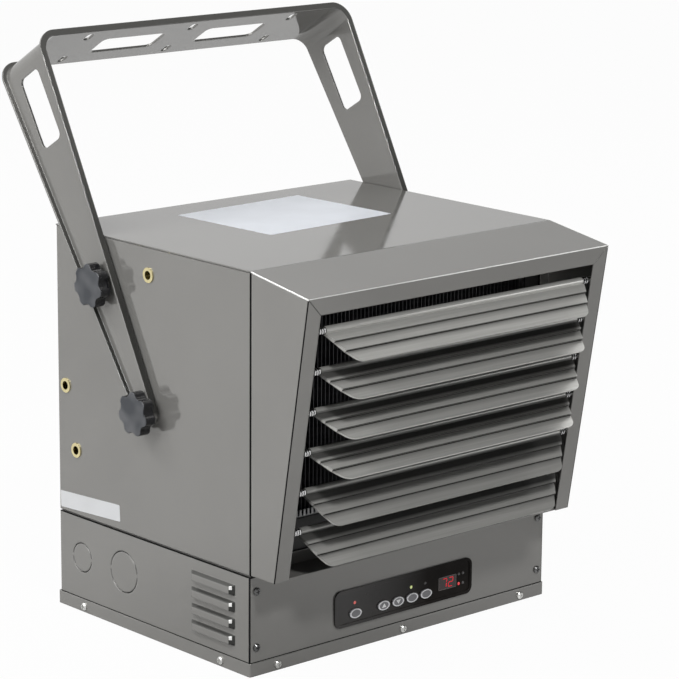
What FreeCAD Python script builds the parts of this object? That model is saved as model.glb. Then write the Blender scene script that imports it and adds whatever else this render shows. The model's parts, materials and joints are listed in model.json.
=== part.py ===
"""Ceiling or wall hung electric garage heater: louvred hood, fan, fin core, wiring base and tilting yoke.

Millimetres. The origin is the middle of the base's underside, +Z is up and the outlet faces -Y.
"""
import FreeCAD
import Part
import math
import os

# Cabinet and base
WIDTH = 356.0
DEPTH = 271.0
HEIGHT = 356.0
SHEET = 1.2
BEND = 1.8
LIP = 12.0
BASE_TOP = 88.6
SEAM_INSET = 2.0
TRAY_RIM = 11.9
SLIP = 0.1
RUN_FIT = 0.06
PIECE_GAP = 0.3

# Outlet hood
HOOD_TOP_REACH = 73.2
HOOD_TOP_DROP = 11.9
HOOD_BOTTOM_REACH = 31.6
HOOD_BOTTOM_Z = 91.3
HOOD_FRAME = 16.0
MITRE_GAP = 0.4

# Louvres
LOUVRE_SLOPES = (44.6, 38.0, 37.2, 36.2, 53.4, 57.4)
LOUVRE_SETBACK = 4.2
LOUVRE_TOP_DROP = 31.9
LOUVRE_LOW_ROOM = 41.8
LOUVRE_SIDE_ROOM = 21.7
LOUVRE_HALF = WIDTH / 2 - LOUVRE_SIDE_ROOM
LOUVRE_TAPER = 0.547
LOUVRE_BANDS = (0.0, 12.9, 23.6, 36.5)
LOUVRE_SKIN = 1.4
LOUVRE_STEP = 2.4
LOUVRE_GROOVE = 0.8
LOUVRE_EDGE = 0.6
LOUVRE_BEAD = 3.4
LOUVRE_CORNER = 11.0
LOUVRE_END_ROOM = 25.4
PIN_DIA = 3.0
PIN_SHOULDER_DIA = 5.4
PIN_REACH = 14.0
SPRING_LENGTH = 7.5
SPRING_CUPS = 3
SPRING_FILL = 0.45

# Heating core
CORE_END_ROOM = 28.0
CORE_FLOOR_ROOM = 42.4
CORE_LID_ROOM = 13.0
CORE_HALF = WIDTH / 2 - CORE_END_ROOM
CORE_LOW = BASE_TOP + CORE_FLOOR_ROOM
CORE_HIGH = HEIGHT - CORE_LID_ROOM
CORE_DEPTH = 34.0
FIN_PITCH = 4.5
FIN_SHEET = 0.5
ELEMENT_COUNT = 3
ELEMENT_DEEP = 20.0
ELEMENT_TALL = 7.0
ELEMENT_PIN = 16.0
ELEMENT_PIN_DIA = 5.0
TOOTH = 5.0
RAIL_SHEET = 1.5

# Fan
FAN_RAISED = 3.7
FAN_ROOM = 25.7
FAN_Z = (HEIGHT + BASE_TOP) / 2 + FAN_RAISED
FAN_RADIUS = (HEIGHT - BASE_TOP) / 2 - FAN_ROOM
FAN_HUB_RADIUS = 27.0
FAN_HUB_LENGTH = 24.0
FAN_TIP_GAP = 4.0
BLADE_COUNT = 5
BLADE_SHEET = 2.2
BLADE_CHORD_ROOT = 44.0
BLADE_CHORD_TIP = 74.0
BLADE_PITCH_ROOT = 42.0
BLADE_PITCH_TIP = 20.0
BLADE_CAMBER = 0.09
BLADE_ROOT = 6.0
BLADE_SINK = 4.0
BLADE_TRIM = 6.0
FAN_HUB_BEVEL = 5.0
FAN_HUB_GAP = 4.0
SHROUD_LENGTH = 34.0
SHAFT_DIA = 8.0
MOTOR_RADIUS = 42.0
MOTOR_LENGTH = 36.0
MOTOR_BELL = 4.0
MOTOR_BELL_RADIUS = 34.0
MOTOR_SHOULDER = 8.0
MOTOR_BOSS = 3.0
MOTOR_BOSS_RADIUS = 10.0
SHAFT_INSET = 4.0
SHAFT_PROUD = 5.0
STRAP_SHEET = 2.5
STRAP_HEIGHT = 30.0
STRAP_ROOM = 20.0
STRAP_HALF = FAN_RADIUS + STRAP_ROOM
STRAP_FOOT = 16.0
STRAP_REACH = 77.0
GUARD_RINGS = 6
GUARD_WIRE = 3.0
GUARD_SPOKES = 8
SPOKE_LIFT = 1.0
GUARD_OVERLAP = 3.0
GUARD_DISC = 22.0
GUARD_EYE = 6.0
GUARD_EYE_SHEET = 1.8
SHROUD_FLANGE = 6.0

# Yoke
PIVOT_Y = 1.5
PIVOT_LOWERED = 13.3
LOCK_LID_ROOM = 25.5
LOCK_BACK_ROOM = 12.5
PIVOT_Z = (HEIGHT + BASE_TOP) / 2 - PIVOT_LOWERED
LOCK_RADIUS = min(HEIGHT - PIVOT_Z - LOCK_LID_ROOM, DEPTH / 2 - PIVOT_Y - LOCK_BACK_ROOM)
YOKE_TILT = 31.0
LOCK_ANGLES = (0.0, 31.0, 90.0, 118.5)
YOKE_SHEET = 2.0
YOKE_RIM = 6.0
YOKE_END_RADIUS = 13.4
YOKE_TAPER = 3.6
YOKE_SHORT = 11.0
YOKE_REACH = HEIGHT - YOKE_SHORT
YOKE_BEND = 13.0
ARM_HOLE_LOW = YOKE_REACH - 88.0
ARM_HOLE_HIGH = YOKE_REACH - 20.0
ARM_HOLE_HALF = 15.0
BAR_HOLE_NEAR = 25.0
BAR_HOLE_FAR = 97.0
BAR_HOLE_HALF = 14.5
HOLE_CORNER = 6.0
SLOT_SPREAD = 121.0
SLOT_ROW = 23.5
SLOT_LENGTH = 13.0
SLOT_WIDTH = 7.0

# Inserts and star knobs
INSERT_RIM_DIA = 13.5
INSERT_RIM = 1.2
INSERT_BODY_DIA = 11.0
INSERT_LENGTH = 12.0
STUD_DIA = 7.8
STUD_GAP = 0.5
KNOB_RADIUS = 20.0
KNOB_WAIST = 16.2
KNOB_LOBES = 7
KNOB_HEAD = 11.0
KNOB_HUB_DIA = 18.5
KNOB_HUB = 4.0
WASHER_DIA = 20.0
WASHER = 1.0
STUD_IN_KNOB = 9.0
KNOB_DOME = 0.6
KNOB_ROUND = 2.2
PRESS_FIT = 0.01
PIVOT_STUD_SHORT = 2.0

# Control panel
PANEL_LEFT = -82.0
PANEL_RIGHT = 85.3
PANEL_LOW = 21.5
PANEL_HIGH = 55.5
PANEL_PROUD = 1.6
PANEL_CORNER = 4.0
PANEL_RIM = 3.0
PANEL_BACK_RIM = 5.0
PANEL_WALL = 2.4
BUTTON_X = (-57.8, -24.1, -6.7, 10.5, 27.7)
BUTTON_Z = 32.2
BUTTON_WIDE = 13.6
BUTTON_TALL = 8.4
BUTTON_PROUD = 1.6
BUTTON_TRAVEL = 0.8
BUTTON_GAP = 0.25
BUTTON_SKIRT = 1.2
BUTTON_SKIRT_OUT = 1.0
BUTTON_STEM_DIA = 3.2
SWITCH_SIDE = 6.0
SWITCH_TALL = 3.5
LED_SPOTS = (
    (-57.9, 41.8),
    (10.2, 41.8),
    (27.6, 41.9),
    (69.6, 42.0),
    (74.8, 42.0),
    (69.6, 32.7),
    (74.8, 32.7),
)
LED_DIA = 3.0
LED_PROUD = 0.4
LED_BEVEL = 0.5
DISPLAY_X = 55.2
DISPLAY_Z = 36.9
DISPLAY_WIDE = 21.4
DISPLAY_TALL = 11.5
BOARD_SHEET = 1.6
BOARD_BACK = 13.0
POST_DIA = 6.0
POST_MARGIN = 1.0

# Wiring base details
KNOCKOUTS = ((101.5, 51.0, 28.0), (40.0, 52.0, 39.0))
KNOCKOUT_SLIT = 0.9
KNOCKOUT_TAB = 3.0
VENT_SETBACK = 18.5
VENT_FRONT = VENT_SETBACK - DEPTH / 2
VENT_LENGTH = 62.0
VENT_TOP = 33.0
VENT_PITCH = 15.1
VENT_COUNT = 4
VENT_TALL = 9.0
VENT_RISE = 4.0
VENT_SLOPE = 1.5
VENT_END = 4.5
VENT_ROUND = 1.3
SCREW_DIA = 3.6
SCREW_HEAD_DIA = 7.0
SCREW_HEAD = 2.2
SCREW_BEVEL = 1.0
DRIVE_LENGTH = 4.2
DRIVE_WIDTH = 1.0
DRIVE_DEPTH = 1.1
SCREW_LENGTH = 8.0
TRAY_SCREW_Z = 5.4
TRAY_SCREW_END = 30.0
TRAY_SCREW_SIDE = 38.0
FRONT_SCREW_EDGE = 7.0
TRAY_SCREW_X = WIDTH / 2 - TRAY_SCREW_END
TRAY_SCREW_Y = DEPTH / 2 - TRAY_SCREW_SIDE
FRONT_SCREW_X = WIDTH / 2 - FRONT_SCREW_EDGE
FRONT_SCREW_Z = (25.3, 75.7)
TERMINAL_Y = 60.0
TERMINAL_ROOM = 58.0
TERMINAL_X = TERMINAL_ROOM - WIDTH / 2
TERMINAL_POLES = 3
TERMINAL_STEP = 18.0
TERMINAL_DEEP = 34.0
TERMINAL_TALL = 24.0
TERMINAL_WALL = 2.0
RELAY_X = (20.0, 62.0)
RELAY_SIDE = 36.0
RELAY_TALL = 40.0
RELAY_ROUND = 2.0
RELAY_Y = 20.0
LUG_X = -60.0
LUG_HALF = 7.0
LUG_TALL = 9.0
LUG_HOLE_Z = 4.0
LUG_HOLE_DIA = 5.2
LUG_BOLT_RADIUS = 4.0
LIMIT_RADIUS = 8.0
LIMIT_TALL = 6.0
LIMIT_CAP_RADIUS = 6.4
LIMIT_CAP = 3.0

FRONT = -DEPTH / 2
BACK = DEPTH / 2
SIDE = WIDTH / 2
CABINET_LOW = BASE_TOP + SHEET
UP = FreeCAD.Vector(0, 0, 1)
ALONG_X = FreeCAD.Vector(1, 0, 0)
ALONG_Y = FreeCAD.Vector(0, 1, 0)


def vec(x, y, z):
    return FreeCAD.Vector(x, y, z)


def block(x0, x1, y0, y1, z0, z1):
    """Box between two corners."""
    return Part.makeBox(x1 - x0, y1 - y0, z1 - z0, vec(x0, y0, z0))


def rod(start, axis, radius, length):
    return Part.makeCylinder(radius, length, start, axis)


def prism(points, along):
    """Flat outline pushed along a vector."""
    return Part.Face(Part.makePolygon(points + points[:1])).extrude(along)


def spun(profile, centre, axis):
    """Closed outline turned once round an axis."""
    return Part.Face(Part.makePolygon(profile + profile[:1])).revolve(centre, axis, 360)


def fused(shapes):
    whole = shapes[0].multiFuse(shapes[1:]) if len(shapes) > 1 else shapes[0]
    return whole.removeSplitter()


def mirrored(shape):
    """The same piece on the other side of the middle plane."""
    return shape.mirror(vec(0, 0, 0), ALONG_X)


def edges_where(shape, test):
    return [e for e in shape.Edges if all(test(v.Point) for v in e.Vertexes)]


def rounded_box(x0, x1, y0, y1, z0, z1, test, radius):
    """Box with the edges that lie wholly where the test says rounded over."""
    box = block(x0, x1, y0, y1, z0, z1)
    return box.makeFillet(radius, edges_where(box, test))


def close_to(a, b):
    return abs(a - b) < 1e-6


def upright(edge):
    a, b = [v.Point for v in edge.Vertexes]
    return close_to(a.x, b.x) and close_to(a.y, b.y)


def obround(centre, long_axis, short_axis, length, width):
    """Flat face: a slot with round ends."""
    run = (length - width) / 2
    r = width / 2
    a = centre + long_axis * run + short_axis * r
    b = centre + long_axis * (run + r)
    c = centre + long_axis * run - short_axis * r
    d = centre - long_axis * run - short_axis * r
    e = centre - long_axis * (run + r)
    f = centre - long_axis * run + short_axis * r
    wire = Part.Wire([
        Part.Arc(a, b, c).toShape(),
        Part.LineSegment(c, d).toShape(),
        Part.Arc(d, e, f).toShape(),
        Part.LineSegment(f, a).toShape(),
    ])
    return Part.Face(wire)


def round_rectangle(low_u, high_u, low_v, high_v, radius, place):
    """Flat face with rounded corners; place turns (u, v) into a point."""
    edges = []
    corners = ((high_u, high_v, 0), (low_u, high_v, 90), (low_u, low_v, 180), (high_u, low_v, 270))
    points = []
    for u, v, start in corners:
        cu = u - radius * (1 if u == high_u else -1)
        cv = v - radius * (1 if v == high_v else -1)
        for turn in (0, 45, 90):
            a = math.radians(start + turn)
            points.append(place(cu + radius * math.cos(a), cv + radius * math.sin(a)))
    for k in range(0, 12, 3):
        edges.append(Part.Arc(points[k], points[k + 1], points[k + 2]).toShape())
        edges.append(Part.LineSegment(points[k + 2], points[(k + 3) % 12]).toShape())
    return Part.Face(Part.Wire(edges))


def lock_point(angle, radius, x):
    """Point on the circle of lock holes, the angle measured back from straight up."""
    a = math.radians(angle)
    return vec(x, PIVOT_Y + radius * math.sin(a), PIVOT_Z + radius * math.cos(a))


# Sheet metal of the base

def knockout(y, z, dia):
    """Ring-shaped slit of a knockout in a side wall, broken by two tabs."""
    start = vec(-SIDE - SHEET, y, z)
    ring = rod(start, ALONG_X, dia / 2, 3 * SHEET)
    ring = ring.cut(rod(start, ALONG_X, dia / 2 - KNOCKOUT_SLIT, 3 * SHEET))
    tab = KNOCKOUT_TAB / 2
    return ring.cut(block(-SIDE - 2 * SHEET, -SIDE + 3 * SHEET, y - dia, y + dia, z - tab, z + tab))


def vent_block(z, wall):
    """Raised panel of a vent less a wall thickness: flat outside, with a steep top and sloping ends."""
    x0 = -SIDE + SHEET
    x1 = -SIDE - VENT_RISE + wall
    y0 = VENT_FRONT + wall
    y1 = VENT_FRONT + VENT_LENGTH - wall
    low = z - VENT_TALL - wall
    share = (x0 - x1) / VENT_RISE
    inset = VENT_END * share
    drop = VENT_SLOPE * share
    high = z - wall
    wires = []
    for x, a, b, top in ((x0, y0, y1, high), (x1, y0 + inset, y1 - inset, high - drop)):
        corners = [(a, low), (b, low), (b, top), (a, top), (a, low)]
        wires.append(Part.makePolygon([vec(x, y, w) for y, w in corners]))
    return Part.makeLoft(wires, True, True)


def vented_wall(wall):
    """Side wall with its pressed-out vents, open along their lower edge."""
    for k in range(VENT_COUNT):
        z = VENT_TOP + k * VENT_PITCH
        outer = vent_block(z, 0)
        front = edges_where(outer, lambda p: close_to(p.x, -SIDE - VENT_RISE))
        ridge = [e for e in front if e.CenterOfMass.z > z - VENT_TALL + SHEET]
        wall = wall.fuse(outer.makeFillet(VENT_ROUND, ridge)).cut(vent_block(z, SHEET))
    return wall.removeSplitter()


def screw_spots_tray():
    """Centre and outward direction of each tray screw."""
    spots = []
    for x in (-TRAY_SCREW_X, 0.0, TRAY_SCREW_X):
        spots.append((vec(x, FRONT - SLIP - SHEET, TRAY_SCREW_Z), vec(0, -1, 0)))
        spots.append((vec(x, BACK + SLIP + SHEET, TRAY_SCREW_Z), vec(0, 1, 0)))
    for y in (-TRAY_SCREW_Y, TRAY_SCREW_Y):
        spots.append((vec(-SIDE - SLIP - SHEET, y, TRAY_SCREW_Z), vec(-1, 0, 0)))
        spots.append((vec(SIDE + SLIP + SHEET, y, TRAY_SCREW_Z), vec(1, 0, 0)))
    return spots


def screw_spots_front():
    return [(vec(s * FRONT_SCREW_X, FRONT, z), vec(0, -1, 0)) for s in (-1, 1) for z in FRONT_SCREW_Z]


def screw(seat, out):
    """Pan-head screw, its head standing out from the seat and its shank going in."""
    shank = rod(seat - out * SCREW_LENGTH, out, SCREW_DIA / 2, SCREW_LENGTH)
    straight = SCREW_HEAD - SCREW_BEVEL
    head = rod(seat, out, SCREW_HEAD_DIA / 2, straight)
    r = SCREW_HEAD_DIA / 2
    crown = Part.makeCone(r, r - SCREW_BEVEL, SCREW_BEVEL, seat + out * straight, out)
    whole = fused([head, crown, shank])
    top = seat + out * (SCREW_HEAD - DRIVE_DEPTH)
    side = out.cross(UP)
    for a, b in ((side, UP), (UP, side)):
        near = top - a * (DRIVE_LENGTH / 2) - b * (DRIVE_WIDTH / 2)
        far = near + a * DRIVE_LENGTH
        arm = prism([near, far, far + b * DRIVE_WIDTH, near + b * DRIVE_WIDTH], out * SCREW_HEAD)
        whole = whole.cut(arm)
    return whole


def screw_holes(shape, spots):
    for seat, out in spots:
        shape = shape.cut(rod(seat - out * SCREW_LENGTH * 2, out, SCREW_DIA / 2 + SLIP, SCREW_LENGTH * 3))
    return shape


def bottom_tray():
    """Shallow pan whose rim stands outside the base walls."""
    x = SIDE + SLIP + SHEET
    y0 = FRONT - SLIP - SHEET
    y1 = BACK + SLIP + SHEET
    box = block(-x, x, y0, y1, 0, TRAY_RIM)
    pan = box.makeFillet(BEND, [e for e in box.Edges if upright(e)])
    pan = pan.cut(block(-x + SHEET, x - SHEET, y0 + SHEET, y1 - SHEET, SHEET, TRAY_RIM + 1))
    return screw_holes(pan, screw_spots_tray())


def base_shell():
    """Left, back and right walls of the wiring base in one bent sheet."""
    y0 = FRONT + SHEET
    box = block(-SIDE, SIDE, y0, BACK, SHEET, BASE_TOP)
    rear = edges_where(box, lambda p: p.y > 0)
    shell = box.makeFillet(BEND, [e for e in rear if upright(e)])
    shell = shell.cut(block(-SIDE + SHEET, SIDE - SHEET, y0 - 1, BACK - SHEET, 0, BASE_TOP + 1))
    left = block(-SIDE, -SIDE + SHEET, y0, BACK - BEND, SHEET, BASE_TOP)
    left = vented_wall(left)
    for y, z, dia in KNOCKOUTS:
        left = left.cut(knockout(y, z, dia))
    walls = shell.cut(block(-SIDE, SIDE, y0, BACK - BEND, SHEET, BASE_TOP))
    ledges = []
    for s in (-1, 1):
        edge = sorted((s * SIDE, s * (SIDE - LIP)))
        ledges.append(block(edge[0], edge[1], y0, y0 + SHEET, SHEET, BASE_TOP))
        ledges.append(block(edge[0], edge[1], y0, BACK - BEND, BASE_TOP - SHEET, BASE_TOP))
    ledges.append(block(-SIDE + BEND, SIDE - BEND, BACK - LIP, BACK - SHEET / 2, BASE_TOP - SHEET, BASE_TOP))
    whole = fused([walls, left, mirrored(left)] + ledges)
    return screw_holes(screw_holes(whole, screw_spots_tray()), screw_spots_front())


def panel_inset(inset, corner, y):
    """Flat outline of the control panel, drawn in by an inset."""
    low = PANEL_LOW + inset
    high = PANEL_HIGH - inset
    place = lambda u, v: vec(u, y, v)
    return round_rectangle(PANEL_LEFT + inset, PANEL_RIGHT - inset, low, high, corner, place)


def base_front_panel():
    """Front cover of the wiring base, with the window of the control panel."""
    plate = block(-SIDE, SIDE, FRONT, FRONT + SHEET, SHEET, BASE_TOP)
    inner = SIDE - LIP - PIECE_GAP
    plate = plate.fuse(block(-inner, inner, FRONT, FRONT + LIP, BASE_TOP - SHEET, BASE_TOP))
    window = panel_inset(PANEL_RIM, PANEL_CORNER, FRONT - SHEET)
    plate = plate.cut(window.extrude(ALONG_Y * 3 * SHEET))
    return screw_holes(screw_holes(plate, screw_spots_front()), screw_spots_tray()).removeSplitter()


# Sheet metal of the cabinet

def cabinet_floor():
    """Divider between the wiring base and the air duct, set in from the walls to leave a dark seam."""
    x = SIDE - SEAM_INSET
    return block(-x, x, FRONT + SEAM_INSET, BACK - SEAM_INSET, BASE_TOP, CABINET_LOW)


def insert_spots():
    """Middle of each threaded insert on the left panel's outer face."""
    spots = [vec(-SIDE, PIVOT_Y, PIVOT_Z)]
    return spots + [lock_point(a, LOCK_RADIUS, -SIDE) for a in LOCK_ANGLES]


def cabinet_side():
    """Left side panel: a pan with inward lips on all four edges."""
    z1 = HEIGHT - SHEET
    at_face = lambda p: close_to(p.x, -SIDE)
    outer = rounded_box(-SIDE, -SIDE + LIP, FRONT, BACK, CABINET_LOW, z1, at_face, BEND)
    inner_face = lambda p: close_to(p.x, -SIDE + SHEET)
    inner = rounded_box(-SIDE + SHEET, -SIDE + LIP + BEND, FRONT + SHEET, BACK - SHEET, CABINET_LOW + SHEET,
                        z1 - SHEET, inner_face, BEND - SHEET)
    pan = outer.cut(inner)
    for spot in insert_spots():
        pan = pan.cut(rod(spot - ALONG_X * SHEET, ALONG_X, INSERT_BODY_DIA / 2 + SLIP, 3 * SHEET))
    return pan


def cabinet_top():
    """Flat lid on the lips of the side panels, with a stiffening lip at the back."""
    lid = block(-SIDE, SIDE, FRONT, BACK, HEIGHT - SHEET, HEIGHT)
    x = SIDE - LIP - PIECE_GAP
    y = BACK - SHEET
    lip = block(-x, x, y, BACK, HEIGHT - LIP, HEIGHT - SHEET)
    return fused([lid, lip])


def back_opening_radius():
    return FAN_RADIUS + FAN_TIP_GAP


def cabinet_back():
    """Back panel behind the side panels' rear lips, with the round air inlet."""
    x = SIDE - BEND - SLIP
    y1 = BACK - SHEET
    plate = block(-x, x, y1 - SHEET, y1, CABINET_LOW, HEIGHT - SHEET)
    plate = plate.cut(side_lip_notches(y1 - SHEET, y1))
    hole = rod(vec(0, y1 - 2 * SHEET, FAN_Z), ALONG_Y, back_opening_radius(), 4 * SHEET)
    plate = plate.cut(hole)
    return screw_holes(plate, guard_screw_spots())


def side_lip_notches(y0, y1):
    """Room along the top and bottom of an end panel for the side panels' own lips."""
    notches = []
    for s in (-1, 1):
        edge = sorted((s * SIDE, s * (SIDE - LIP - SLIP)))
        notches.append(block(edge[0], edge[1], y0, y1, CABINET_LOW, CABINET_LOW + BEND + SLIP))
        notches.append(block(edge[0], edge[1], y0, y1, HEIGHT - SHEET - BEND - SLIP, HEIGHT - SHEET))
    return notches[0].multiFuse(notches[1:])


def front_bulkhead():
    """Plate behind the front lips that carries the heating core and frames its outlet."""
    x = SIDE - BEND - SLIP
    y0 = FRONT + SHEET
    plate = block(-x, x, y0, y0 + SHEET, CABINET_LOW, HEIGHT - SHEET)
    plate = plate.cut(side_lip_notches(y0, y0 + SHEET))
    half = CORE_HALF - RAIL_SHEET
    high = CORE_HIGH - TOOTH - RAIL_SHEET
    return plate.cut(block(-half, half, y0 - SHEET, y0 + 2 * SHEET, CORE_LOW, high))


# Outlet hood

HOOD_FRONT_LOW = vec(0, FRONT - HOOD_BOTTOM_REACH, HOOD_BOTTOM_Z)
HOOD_FRONT_HIGH = vec(0, FRONT - HOOD_TOP_REACH, HEIGHT - HOOD_TOP_DROP)
HOOD_RISE = (HOOD_FRONT_HIGH - HOOD_FRONT_LOW).normalize()
HOOD_OUT = ALONG_X.cross(HOOD_RISE)
HOOD_SLANT = (HOOD_FRONT_HIGH - HOOD_FRONT_LOW).Length
HOOD_FALL = (HOOD_FRONT_HIGH - vec(0, FRONT, HEIGHT)).normalize()
HOOD_TOP_IN = ALONG_X.cross(HOOD_FALL)


def on_front(x, s):
    """Point of the hood's slanted front plane, s up from its lower edge."""
    return HOOD_FRONT_LOW + HOOD_RISE * s + ALONG_X * x


def hood_side():
    """Left cheek of the hood with its front stile, mitred at the top, and its rear lip."""
    top_rear = vec(0, FRONT, HEIGHT) + HOOD_TOP_IN * SHEET
    top_front = HOOD_FRONT_HIGH + HOOD_TOP_IN * SHEET
    drop = (top_rear.y - FRONT) / HOOD_FALL.y
    top_rear = top_rear - HOOD_FALL * drop
    outline = [vec(0, FRONT, HOOD_BOTTOM_Z), HOOD_FRONT_LOW, top_front, top_rear]
    outline = [p - ALONG_X * SIDE for p in outline]
    cheek = prism(outline, ALONG_X * SHEET)
    inner = SIDE - HOOD_FRAME
    high = HOOD_SLANT - SHEET - MITRE_GAP
    stile = [
        on_front(-SIDE, 0),
        on_front(-inner, 0),
        on_front(-inner, HOOD_SLANT - HOOD_FRAME - MITRE_GAP),
        on_front(-SIDE + SHEET, high),
        on_front(-SIDE, high),
    ]
    stile = prism(stile, HOOD_OUT * -SHEET)
    lip = block(-SIDE, -SIDE + LIP, FRONT - SHEET, FRONT, HOOD_BOTTOM_Z, HEIGHT - LIP)
    whole = fused([cheek, stile, lip])
    rear = [e for e in edges_where(whole, lambda p: close_to(p.x, -SIDE) and close_to(p.y, FRONT))]
    return whole.makeFillet(BEND, rear)


def hood_top():
    """Sloping roof of the hood with its front rail, mitred at both ends, and its rear lip."""
    rear = vec(0, FRONT, HEIGHT)
    under_rear = rear + HOOD_TOP_IN * SHEET
    under_rear = under_rear - HOOD_FALL * ((under_rear.y - FRONT) / HOOD_FALL.y)
    outline = [rear, HOOD_FRONT_HIGH, HOOD_FRONT_HIGH + HOOD_TOP_IN * SHEET, under_rear]
    roof = prism([p - ALONG_X * SIDE for p in outline], ALONG_X * WIDTH)
    inner = SIDE - HOOD_FRAME
    s = HOOD_SLANT
    rail = [
        on_front(-SIDE, s),
        on_front(SIDE, s),
        on_front(SIDE - SHEET, s - SHEET),
        on_front(inner, s - HOOD_FRAME),
        on_front(-inner, s - HOOD_FRAME),
        on_front(-SIDE + SHEET, s - SHEET),
    ]
    rail = prism(rail, HOOD_OUT * -SHEET)
    x = SIDE - LIP - PIECE_GAP
    lip = block(-x, x, FRONT - SHEET, FRONT, HEIGHT - LIP, HEIGHT - SHEET)
    return fused([roof, rail, lip])


def hood_bottom():
    """Short floor that closes the hood under the lowest louvre, with a rear lip up the bulkhead."""
    x = SIDE - SHEET - SLIP
    z = HOOD_BOTTOM_Z
    lean = HOOD_RISE.y / HOOD_RISE.z
    y0 = FRONT - HOOD_BOTTOM_REACH + SHEET + PIECE_GAP
    y1 = FRONT - SHEET - SLIP
    outline = [(y1, z), (y0, z), (y0 + lean * SHEET, z + SHEET), (y1, z + SHEET)]
    floor = prism([vec(-x, v, w) for v, w in outline], ALONG_X * 2 * x)
    inner = SIDE - HOOD_FRAME - PIECE_GAP
    lip_x = SIDE - LIP - PIECE_GAP
    lip = block(-lip_x, lip_x, FRONT - SHEET, FRONT, z, z + LIP)
    web = block(-inner, inner, FRONT - 2 * SHEET, FRONT, z, z + SHEET)
    return fused([floor, lip, web])


# Louvres

PIN_SHOULDER = LOUVRE_END_ROOM - SHEET - SPRING_LENGTH - PIECE_GAP


def louvre_pivot(k):
    """Middle of louvre k's pivot axis, counted from the top."""
    pitch = (HOOD_SLANT - LOUVRE_TOP_DROP - LOUVRE_LOW_ROOM) / (len(LOUVRE_SLOPES) - 1)
    s = HOOD_SLANT - LOUVRE_TOP_DROP - k * pitch
    return on_front(0, s) - HOOD_OUT * LOUVRE_SETBACK


def louvre(k):
    """Extruded blade of stepped bands with a pivot barrel at its rear and tapered, round-cornered ends."""
    barrel = SIDE - LOUVRE_END_ROOM
    chord = LOUVRE_BANDS[-1]
    top = []
    under = LOUVRE_STEP - LOUVRE_EDGE
    for start, stop in zip(LOUVRE_BANDS, LOUVRE_BANDS[1:]):
        top += [(-start, 0), (-stop, LOUVRE_STEP)]
        if stop < chord:
            inside = LOUVRE_GROOVE - stop
            deep = under - LOUVRE_GROOVE
            top += [(-stop, under), (inside, under), (inside, deep), (-stop, deep)]
    skin = LOUVRE_SKIN
    section = top + [(-chord, LOUVRE_STEP - skin), (-LOUVRE_BANDS[-2], -skin), (0, -skin)]
    blade = prism([vec(-SIDE, y, z) for y, z in section], ALONG_X * WIDTH)
    narrow = LOUVRE_HALF - LOUVRE_TAPER * chord
    outline = [(-LOUVRE_HALF, 0), (-narrow, -chord), (narrow, -chord), (LOUVRE_HALF, 0)]
    plan = prism([vec(x, y, -LOUVRE_BEAD) for x, y in outline], UP * 2 * LOUVRE_BEAD)
    front = edges_where(plan, lambda p: close_to(p.y, -chord))
    blade = blade.common(plan.makeFillet(LOUVRE_CORNER, [e for e in front if upright(e)]))
    room = LOUVRE_BEAD + PIECE_GAP
    for s in (-1, 1):
        blade = blade.cut(rod(vec(s * barrel, 0, 0), ALONG_X * s, room, LOUVRE_END_ROOM))
    whole = fused([blade, rod(vec(-barrel, 0, 0), ALONG_X, LOUVRE_BEAD, 2 * barrel)])
    whole = whole.cut(rod(vec(-SIDE, 0, 0), ALONG_X, PIN_DIA / 2 + RUN_FIT, WIDTH))
    whole.rotate(vec(0, 0, 0), ALONG_X, LOUVRE_SLOPES[k])
    whole.translate(louvre_pivot(k))
    return whole


def louvre_pins():
    """Shouldered pivot pins, welded to the hood's cheeks, that carry the louvre barrels."""
    pins = []
    for k in range(len(LOUVRE_SLOPES)):
        start = louvre_pivot(k) - ALONG_X * (SIDE - SHEET)
        shank = rod(start, ALONG_X, PIN_DIA / 2, LOUVRE_END_ROOM - SHEET + PIN_REACH)
        pin = fused([shank, rod(start, ALONG_X, PIN_SHOULDER_DIA / 2, PIN_SHOULDER)])
        pins += [pin, mirrored(pin)]
    return Part.makeCompound(pins)


def louvre_springs():
    """Stacks of cup washers, each one solid, that load the louvre ends so that their angle stays as set."""
    inner = PIN_DIA / 2 + SLIP
    outer = LOUVRE_BEAD
    step = SPRING_LENGTH / SPRING_CUPS
    thick = step * SPRING_FILL
    springs = []
    for k in range(len(LOUVRE_SLOPES)):
        start = louvre_pivot(k) - ALONG_X * (SIDE - SHEET - PIN_SHOULDER)
        profile = []
        for n in range(SPRING_CUPS):
            profile += [(n * step, inner), ((n + 0.5) * step, outer - thick / 2)]
        profile += [(SPRING_LENGTH - thick, inner), (SPRING_LENGTH, inner)]
        for n in reversed(range(SPRING_CUPS)):
            profile += [((n + 0.5) * step + thick / 2, outer), (n * step + thick, inner + thick)]
        spring = spun([start + vec(x, 0, r) for x, r in profile], start, ALONG_X)
        springs += [spring, mirrored(spring)]
    return Part.makeCompound(springs)


# Heating core

CORE_FRONT = FRONT + 2 * SHEET
CORE_BACK = CORE_FRONT + CORE_DEPTH


def element_levels():
    rise = (CORE_HIGH - CORE_LOW) / ELEMENT_COUNT
    return [CORE_LOW + (k + 0.5) * rise for k in range(ELEMENT_COUNT)]


def element_bar(z, half, play):
    y = (CORE_FRONT + CORE_BACK) / 2
    deep = ELEMENT_DEEP / 2 + play
    tall = ELEMENT_TALL / 2 + play
    return block(-half, half, y - deep, y + deep, z - tall, z + tall)


def fin_places():
    count = int((2 * CORE_HALF - 2 * FIN_PITCH) / FIN_PITCH) + 1
    start = -(count - 1) * FIN_PITCH / 2
    return [start + k * FIN_PITCH for k in range(count)]


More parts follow.
